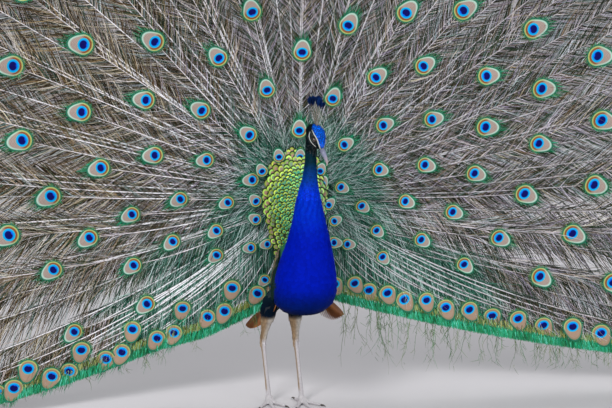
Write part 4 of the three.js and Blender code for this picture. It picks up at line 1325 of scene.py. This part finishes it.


# the palest stop of each ramp, near white, paints glints of light on the barbs
barb_finish, tree, shader = new_material("train_barb", 0.55, Specular_IOR_Level=0.25)
tone = attribute(tree, "tone")
green = ramp(
    tree, tone, (0.0, 0.004, 0.030, 0.020), (0.4, 0.012, 0.15, 0.085),
    (0.7, 0.08, 0.38, 0.26), (1.0, 0.72, 0.92, 0.88),
)
bronze = ramp(
    tree, tone, (0.0, 0.008, 0.009, 0.006), (0.35, 0.055, 0.085, 0.028),
    (0.60, 0.26, 0.22, 0.22), (0.8, 0.52, 0.43, 0.62), (1.0, 0.94, 0.88, 1.0),
)
ochre = ramp(
    tree, tone, (0.0, 0.014, 0.008, 0.005), (0.35, 0.16, 0.075, 0.022),
    (0.62, 0.44, 0.29, 0.12), (1.0, 1.0, 0.90, 0.66),
)
far_colour = mixed(tree, attribute(tree, "warm"), bronze, ochre)
painted(tree, shader, mixed(tree, attribute(tree, "green"), far_colour, green))


def barb_colours(place, tone, hue):
    """How green and how rusty barbs are, by where in the fan they grow, with their tones."""
    u, v = place[:, 0], place[:, 1]
    count = len(u)
    from_source = np.hypot(u * 1.1, v - 0.10)
    lowness = rises(0.16 - v, 0.0, 0.30)
    waves = 0.10 * np.sin(u * 9 + 1.3) * np.sin(v * 11 - 0.4) + 0.05 * np.sin(u * 31 + v * 17)
    green = rises(0.35 + 0.36 * lowness + waves - from_source, 0.0, 0.20) + rng.normal(0, 0.12, count)
    green = green + np.where(hue < -0.9, 0.5, 0.0)
    rust = 0.55 * rises(-u + 0.25 * v + 0.5 * waves, 0.15, 0.75) + 0.10
    rust = rust + 0.4 * hue + rng.normal(0, 0.12, count)
    return {"tone": tone, "green": np.clip(green, 0, 1), "warm": np.clip(rust, 0, 1)}


# barbs cling together in clumps, dark and pale by turns, that lean and are tinted alike;
# the pale clumps are partly the barbs' own tone and partly painted glints of light
CLUMP_LENGTH = 0.0042
CLUMPS = 4096
clump_tone_and_glint = np.clip(np.tile([0.09, 0.80], CLUMPS // 2) + rng.normal(0, 0.18, CLUMPS), 0, 1)
clump_lean = rng.normal(0, 1, CLUMPS)
clump_hue = rng.normal(0, 1, CLUMPS)


def clump_number(index, out, side):
    """Which clump a barb is in, by its feather, its distance along the shaft and its side."""
    along = np.floor(out / CLUMP_LENGTH).astype(int)
    return (index * 7918 + along * 613 + (side > 0) * 31) % CLUMPS


def kept_inside(place, heading, length):
    """Shortens the barbs that would end outside the fan."""
    for _ in range(5):
        tip_u = place[:, 0] + np.cos(heading) * length
        tip_v = place[:, 1] + np.sin(heading) * length
        length = np.where(outside(tip_u, tip_v), length * 0.62, length)
    return length


order = rng.permutation(len(feathers))
for label, pieces, spacing, widths, set_back, darkest, palest in BARB_LAYERS:
    for piece in range(pieces):
        index, share, side = [], [], []
        for i in order[piece::pieces]:
            first = 0.065 + 0.03 * rng.random()
            last = reach[i] - 0.85 * half[i]
            if last < first:
                continue
            places = np.arange(first, last, spacing)
            places = places[rng.random(len(places)) < np.clip(0.45 + 1.0 * places, 0, 1)]
            for way in (-1, 1):
                index.append(np.full(len(places), i))
                share.append((places + rng.uniform(-0.002, 0.002, len(places))) / reach[i])
                side.append(np.full(len(places), way))
        index, share, side = np.concatenate(index), np.concatenate(share), np.concatenate(side)
        count = len(index)
        place, shaft_heading, depth = shaft_line(index, share)
        clump = clump_number(index, share * reach[index], side)
        lean = clump_lean[clump]
        spread = np.radians(49 + 6 * lean + rng.normal(0, 2, count) - 8 * share)
        heading = shaft_heading + side * spread
        hang = np.clip(low[index] * 1.25 - 0.30 + rng.normal(0, 0.12, count), 0, 0.92)
        from_down = (heading + np.pi / 2 + np.pi) % (2 * np.pi) - np.pi
        heading = heading - from_down * hang
        curl = side * np.radians(rng.normal(20, 7, count)) * (1 - hang)
        length = 0.060 * (1 + reach[index] * share) * (0.85 + 0.14 * lean) * rng.uniform(0.85, 1.1, count)
        length = np.maximum(length, 0.02) * (1 + 0.35 * low[index])
        length = kept_inside(place, heading - curl * 0.6, length)
        tone = clump_tone_and_glint[clump] + rng.normal(0, 0.07, count) + rng.normal(0, 0.07, len(feathers))[index]
        tone = darkest + (palest - darkest) * np.clip(tone, 0, 1)
        width, rise = rng.uniform(*widths, count), rng.normal(0.0, 0.004, count)
        strips(
            f"{label}_{piece + 1}", place, heading, curl, length, width, depth - set_back, rise,
            barb_finish, barb_colours(place, tone, clump_hue[clump]), rng.normal(0, 0.7, count),
        )

# ---------------------------------------------------------------- train: loose fringes
# The web does not end at an eye's straw ring: loose green barbs stand out round it, longest
# and darkest past its tip. Along the train's lower edges the short feathers' barbs end in a
# thick emerald fringe, olive gold above, with long broken threads hanging from it.
fringe_finish, tree, shader = new_material("green_fringe", 0.5, Specular_IOR_Level=0.25)
tone = attribute(tree, "tone")
emerald = ramp(
    tree, tone, (0.0, 0.001, 0.09, 0.030), (0.4, 0.004, 0.34, 0.13),
    (0.8, 0.01, 0.62, 0.36), (1.0, 0.16, 0.90, 0.70),
)
olive = ramp(tree, tone, (0.0, 0.07, 0.07, 0.010), (0.5, 0.40, 0.40, 0.07), (1.0, 0.75, 0.70, 0.26))
painted(tree, shader, mixed(tree, attribute(tree, "gold"), emerald, olive))

EYE_FRINGE = 120
eyed = [feather for feather in feathers if feather["kind"] != "rim"]
count = EYE_FRINGE * len(eyed)
angle = np.tile(np.linspace(-np.pi, np.pi, EYE_FRINGE, endpoint=False), len(eyed))
angle = angle + rng.normal(0, 0.02, count)
eye_half, eye_tip, eye_end, eye_depth = (
    np.repeat(traits(eyed, name), EYE_FRINGE, axis=0) for name in ("half", "tip", "end", "depth")
)
small = np.repeat(np.where(traits(eyed, "kind") == "border", 0.45, 1.0), EYE_FRINGE)
distance = eye_outline(angle) * rng.uniform(0.96, 1.12, count) * eye_half
way = angle + eye_tip
start = eye_end + distance[:, None] * np.stack([np.cos(way), np.sin(way)], axis=-1)
tipward = np.cos(angle)
past_tip = np.maximum(tipward, 0) ** 4
heading = eye_tip + angle * (0.62 - 0.25 * tipward)
length = eye_half * (0.34 + 0.85 * past_tip) * rng.uniform(0.6, 1.25, count) * small
curl, width = rng.normal(0, 0.25, count), rng.uniform(0.0009, 0.0017, count)
rise = rng.normal(0, 0.002, count)
tone = np.clip(rng.beta(1.6, 2.0, count) - 0.25 * past_tip, 0, 1)
gold = np.clip(rng.normal(0.12, 0.2, count) - 0.3 * tipward, 0, 1)
strips(
    "eye_fringes", start, heading, curl, length, width, eye_depth + 0.0030, rise, fringe_finish,
    {"tone": tone, "gold": gold}, rng.normal(0, 0.5, count),
)

# name, barbs, start above the edge, end above the edge, gold
FRINGE_ROWS = [
    ("edge_gold", 6400, (0.024, 0.044), (0.015, 0.021), (0.50, 1.0)),
    ("edge_emerald", 15000, (0.002, 0.024), (-0.011, -0.005), (0.0, 0.12)),
]
for label, count, above, ending, golden in FRINGE_ROWS:
    side = np.where(rng.random(count) < 0.5, -1, 1)
    u = side * (0.075 + 1.09 * rng.random(count))
    keep = np.hypot(u, edge_fall(u)) < 1.2 * fan_shape(np.arctan2(-edge_fall(u), u))
    u = u[keep]
    count = len(u)
    lift = rng.uniform(*above, count)
    length = lift - rng.uniform(*ending, count)
    dropped = 0.024 * rises(u, -0.42, -0.24) * (u < 0)
    start = np.stack([u, lift - dropped - edge_fall(u)], axis=-1)
    heading = np.radians(-90 + np.sign(u) * rng.normal(10, 8, count))
    tone = np.clip(rng.beta(1.3, 1.3, count) + 0.10 * np.sin(u * 47), 0, 1)
    curl, width = rng.normal(0, 0.2, count), rng.uniform(0.0012, 0.0024, count)
    depth, rise = 0.011 + 0.005 * rng.random(count), rng.normal(0, 0.002, count)
    strips(
        label, start, heading, curl, length, width, depth, rise, fringe_finish,
        {"tone": tone, "gold": rng.uniform(*golden, count)}, rng.normal(0, 0.5, count),
    )

THREADS = 150
THREAD_STATIONS = 12
THREAD_DEPTH = 0.006
u = np.where(rng.random(THREADS) < 0.74, rng.uniform(0.11, 1.12, THREADS), -rng.uniform(0.12, 1.05, THREADS))
start = np.stack([u, 0.006 - edge_fall(u)], axis=-1)
longest = np.clip(FAN_CENTRE[2] - edge_fall(u) - 0.03, 0.03, 0.22)
length = longest * rng.uniform(0.25, 1.0, THREADS) * np.where(u < 0, 0.55, 1.0)
wander = np.cumsum(rng.normal(0, 0.16, (THREADS, THREAD_STATIONS - 1)), axis=1)
wander -= wander.mean(axis=1, keepdims=True) * 0.7
heading = np.radians(-90) + rng.normal(0, 0.14, THREADS)
width, rise = rng.uniform(0.0009, 0.0015, THREADS), rng.normal(0, 0.015, THREADS)
strips(
    "hanging_threads", start, heading, np.zeros(THREADS), length, width,
    np.full(THREADS, THREAD_DEPTH), rise, fringe_finish,
    {"tone": rng.uniform(0.0, 0.32, THREADS), "gold": rng.uniform(0.2, 0.8, THREADS)},
    rng.normal(0, 0.4, THREADS), stations=THREAD_STATIONS, wander=wander,
)
TWIGS = 5
TWIG_WIDTH = 0.0009
count = THREADS * TWIGS
place = np.repeat(start, TWIGS, axis=0)
path = np.repeat(length, TWIGS) * rng.uniform(0.2, 0.9, count)
swing = np.repeat(heading, TWIGS) + np.repeat(wander, TWIGS, axis=0)[:, :6].mean(axis=1) * 0.5
place = place + path[:, None] * np.stack([np.cos(swing), np.sin(swing)], axis=-1)
swing = swing + rng.choice([-1, 1], count) * rng.uniform(0.3, 0.8, count)
curl, length = rng.normal(0, 0.5, count), rng.uniform(0.008, 0.030, count)
strips(
    "thread_twigs", place, swing, curl, length, np.full(count, TWIG_WIDTH),
    np.full(count, THREAD_DEPTH), rng.normal(0, 0.006, count), fringe_finish,
    {"tone": rng.uniform(0.0, 0.32, count), "gold": rng.uniform(0.2, 0.8, count)},
    rng.normal(0, 0.4, count),
)

# ---------------------------------------------------------------- scaled shield of the back
# Over the root of the train, the short feathers of the back lie like coins or scales, rounded,
# golden green round a blue-green middle, with a dark rim. They overlap outwards and upwards
# and grow larger, with copper middles, towards the shield's border.
SHIELD_THICKNESS = 0.050
SHIELD_SEAT = 0.0095
# share of the shield's reach at which its outermost scales are rooted
SCALED_SHARE = 0.94
TRIES = 26000


def shield_rise(share):
    """How far the shield stands in front of the fan, a share of the way to its border."""
    return SHIELD_SEAT + SHIELD_THICKNESS * np.maximum(0, 1 - share**2) ** 0.8


def shield_surface(share, angle, sink=0.0):
    u, v = shield_place(share, angle)
    return fan_point(u, v, shield_rise(share) - sink)


def shield_unwrap(places):
    spot = own(places)
    return np.stack([0.5 + (spot[:, 0] + 0.014) * 3.4, (spot[:, 2] - 0.25) * 2.0 + 0.02], axis=-1)


scale_finish, tree, shader = new_material("gold_scale", 0.45, Specular_IOR_Level=0.3)
grain = placed_group(tree, barb_lines, Count=7.0, Slant=0.8, Depth=0.3)
rim = placed_group(tree, feather_rim, Narrowing=1.6, Middle=0.42)["Distance"]
brightness = maths(tree, "MULTIPLY_ADD", attribute(tree, "tone"), 1.3, 0.62)
bright = scaled(tree, attribute(tree, "plumage", "Color"), brightness)
middle = mixed(tree, attribute(tree, "copper"), (0.06, 0.56, 0.36, 1), (0.62, 0.36, 0.26, 1))
colour = mixed(tree, soft_step(tree, rim, 0.34, 0.52), middle, bright)
colour = mixed(tree, soft_step(tree, rim, 0.66, 0.86), colour, (0.004, 0.016, 0.006, 1))
colour = mixed(tree, maths(tree, "MULTIPLY", grain["Lines"], 0.3), colour, (0.02, 0.04, 0.01, 1))
painted(tree, shader, colour, grain["Normal"])

rng = np.random.default_rng(41)
taken, kept = {}, []
for _ in range(TRIES):
    share, angle = math.sqrt(rng.random()), rng.random() * 2 * math.pi
    spacing = 0.0062 + 0.0046 * share**2
    here = shield_place(share * SCALED_SHARE, angle)
    cell = (int(here[0] // 0.012), int(here[1] // 0.012))
    around = [taken.get((cell[0] + i, cell[1] + j), []) for i in (-1, 0, 1) for j in (-1, 0, 1)]
    if all(math.dist(here, other) > spacing for group in around for other in group):
        taken.setdefault(cell, []).append(here)
        kept.append((share, angle, spacing))
share, angle, size = np.array(kept).T
out = share * SCALED_SHARE
u, v = shield_place(out, angle)
size = size * (0.80 + 0.40 * rises(v, -0.05, 0.20))
flow = unit(np.stack([u + 0.010, v + 0.06], axis=-1))
rise = shield_rise(out) - 0.001
root = fan_point(u, v, rise)
steepness = 1.6 * out / np.maximum(0.12, np.maximum(0, 1 - out**2) ** 0.2) / 0.15
outward = unit(np.stack([np.cos(angle) * SHIELD_HALF[1], np.sin(angle) * SHIELD_HALF[0]], axis=-1))
fall = SHIELD_THICKNESS * steepness * np.sum(flow * outward, axis=1)
STEP = 0.004
ahead = fan_point(u + flow[:, 0] * STEP, v + flow[:, 1] * STEP, rise - fall * STEP)
aside = fan_point(u - flow[:, 1] * STEP, v + flow[:, 0] * STEP, rise)
way = unit(ahead - root)
normal = unit(np.cross(aside - root, way))
normal *= np.sign(-normal[:, 1:2])
near_neck = rises(u, -0.075, 0.02) * rises(v, 0.27, 0.05)
colours = blended(near_neck, np.array([0.42, 0.82, 0.14]), [0.06, 0.76, 0.50])
colours = blended(rng.random(len(u)) * 0.6, colours, [0.85, 0.80, 0.06])
tone, copper = rng.random(len(root)), rises(share, 0.62, 1.0) + rng.normal(0, 0.12, len(root))
made = coat(
    "shield_scales", placed(root), turned(normal), size * 2.0, size * 1.5,
    np.array([-0.001, 0.0014, 0.0028, 0.0036, 0.0038]), ROUNDED_STATIONS, (0.6, 0.95, 1.05, 0.85, 0.4),
    scale_finish, values={"tone": tone, "copper": np.clip(copper, 0, 1)},
    hug=False, way=turned(way), place_map=shield_unwrap, colours=colours,
)
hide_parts("back_shield")
GROUND_ROWS, GROUND_COLUMNS = 14, 49
share, angle = np.meshgrid(
    np.linspace(0.02, 0.98, GROUND_ROWS), np.linspace(0, 2 * np.pi, GROUND_COLUMNS), indexing="ij",
)
ground_finish, tree, shader = new_material("shield_ground", 0.8)
fluff = noise(tree, 160.0, 5.0)
painted(tree, shader, ramp(tree, fluff, (0.3, 0.010, 0.018, 0.010), (0.7, 0.04, 0.05, 0.025)))
made = mesh_object(
    "shield_ground", placed(shield_surface(share, angle, 0.003)),
    grid_faces(1, GROUND_ROWS, GROUND_COLUMNS), ground_finish,
)
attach(made, "root")

# ---------------------------------------------------------------- tail
# Behind the train stand the twenty stiff grey-brown feathers of the true tail, which prop it
# up, and round their roots the soft brown down of the undertail.
rng = np.random.default_rng(53)
TAIL_FEATHERS = 20
TAIL_RADIUS = 0.455
TAIL_SPREAD = math.radians(250)
TAIL_SET_BACK = 0.046
TAIL_SHIFT = np.array([-0.008, 0.016, 0.0])
TAIL_ROOT = 0.074
TAIL_WIDTH = 0.090
TAIL_OUTLINE = (0.22, 0.45, 0.65, 0.8, 0.9, 0.97, 1.0, 0.95, 0.75, 0.3)
tail_finish, tree, shader = new_material("tail_vane", 0.65)
grain = placed_group(tree, barb_lines, Count=110.0, Slant=0.30, Depth=0.35)
web = mixed(tree, attribute(tree, "tone"), (0.085, 0.065, 0.048, 1), (0.16, 0.13, 0.10, 1))
web = mixed(tree, maths(tree, "MULTIPLY", grain["Lines"], 0.45), web, (0.05, 0.038, 0.03, 1))
web = mixed(tree, soft_step(tree, noise(tree, 45.0, 4.0), 0.5, 0.75), web, (0.24, 0.20, 0.16, 1))
painted(tree, shader, mixed(tree, grain["Shaft"], web, (0.50, 0.45, 0.38, 1)), grain["Normal"])


def fan_unwrap(places):
    spot = own(places)
    return np.stack([0.5 + spot[:, 0] / 3, 0.25 + (spot[:, 2] - 0.3) / 3], axis=-1)


share = (np.arange(TAIL_FEATHERS) + 0.5) / TAIL_FEATHERS
azimuth = math.radians(90) - TAIL_SPREAD / 2 + TAIL_SPREAD * share
reach = (TAIL_RADIUS - 0.006) * (1 - 0.28 * (np.abs(share - 0.5) * 2) ** 2)
stagger = 0.0016 * (np.arange(TAIL_FEATHERS) % 2)
inner, outer = (
    fan_point(radius * np.cos(azimuth), radius * np.sin(azimuth), -TAIL_SET_BACK - stagger) + TAIL_SHIFT
    for radius in (TAIL_ROOT, reach)
)
way = outer - inner
behind_him = np.tile(np.array([0, 1.0, 0.07]), (TAIL_FEATHERS, 1))
stations = np.linspace(0, 1, len(TAIL_OUTLINE))
made = coat(
    "tail_feathers", placed(inner), turned(unit(behind_him)), np.linalg.norm(way, axis=1), TAIL_WIDTH,
    0.012 * np.sin(np.pi * stations), stations, TAIL_OUTLINE, tail_finish,
    values={"tone": rng.random(TAIL_FEATHERS)}, hug=False, way=turned(unit(way)),
    place_map=fan_unwrap, camber=0.05,
)
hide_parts("tail_1", "tail_2", "tail_3")

down_finish, tree, shader = new_material("undertail_down", 0.85, Sheen_Weight=0.5)
grain = placed_group(tree, barb_lines, Count=16.0, Slant=1.2, Depth=0.4)
tone = attribute(tree, "tone")
brown = ramp(tree, tone, (0.0, 0.05, 0.038, 0.03), (0.6, 0.17, 0.14, 0.115), (1.0, 0.38, 0.35, 0.31))
brown = mixed(tree, maths(tree, "MULTIPLY", grain["Lines"], 0.5), brown, (0.04, 0.03, 0.025, 1))
painted(tree, shader, brown, grain["Normal"])
DOWN_TUFTS = 2400
azimuth = rng.uniform(-math.pi, math.pi, DOWN_TUFTS)
share = rng.random(DOWN_TUFTS) ** 0.6
radius = 0.03 + 0.13 * share
level = -TAIL_SET_BACK - 0.016 - 0.034 * np.cos(share * np.pi / 2)
root = fan_point(radius * np.cos(azimuth), radius * np.sin(azimuth), level)
root[:, 1] += 0.004
out = np.stack([np.cos(azimuth) * 0.8 * share, 0.9 + 0 * share, np.sin(azimuth) * 0.8 * share - 0.1], axis=-1)
way = np.stack([np.cos(azimuth), 0.35 + 0 * share, np.sin(azimuth) - 0.35], axis=-1)
way = way + rng.normal(0, 0.22, (DOWN_TUFTS, 3))
length, width = rng.uniform(0.030, 0.060, DOWN_TUFTS), rng.uniform(0.006, 0.012, DOWN_TUFTS)
made = coat(
    "undertail_down", placed(root), turned(unit(out)), length, width,
    np.array([0, 0.004, 0.006, 0.005, 0.001]), ROUNDED_STATIONS, (0.5, 0.9, 1.0, 0.7, 0.25), down_finish,
    values={"tone": rng.random(DOWN_TUFTS)}, hug=False, way=turned(unit(way)), place_map=fan_unwrap,
)
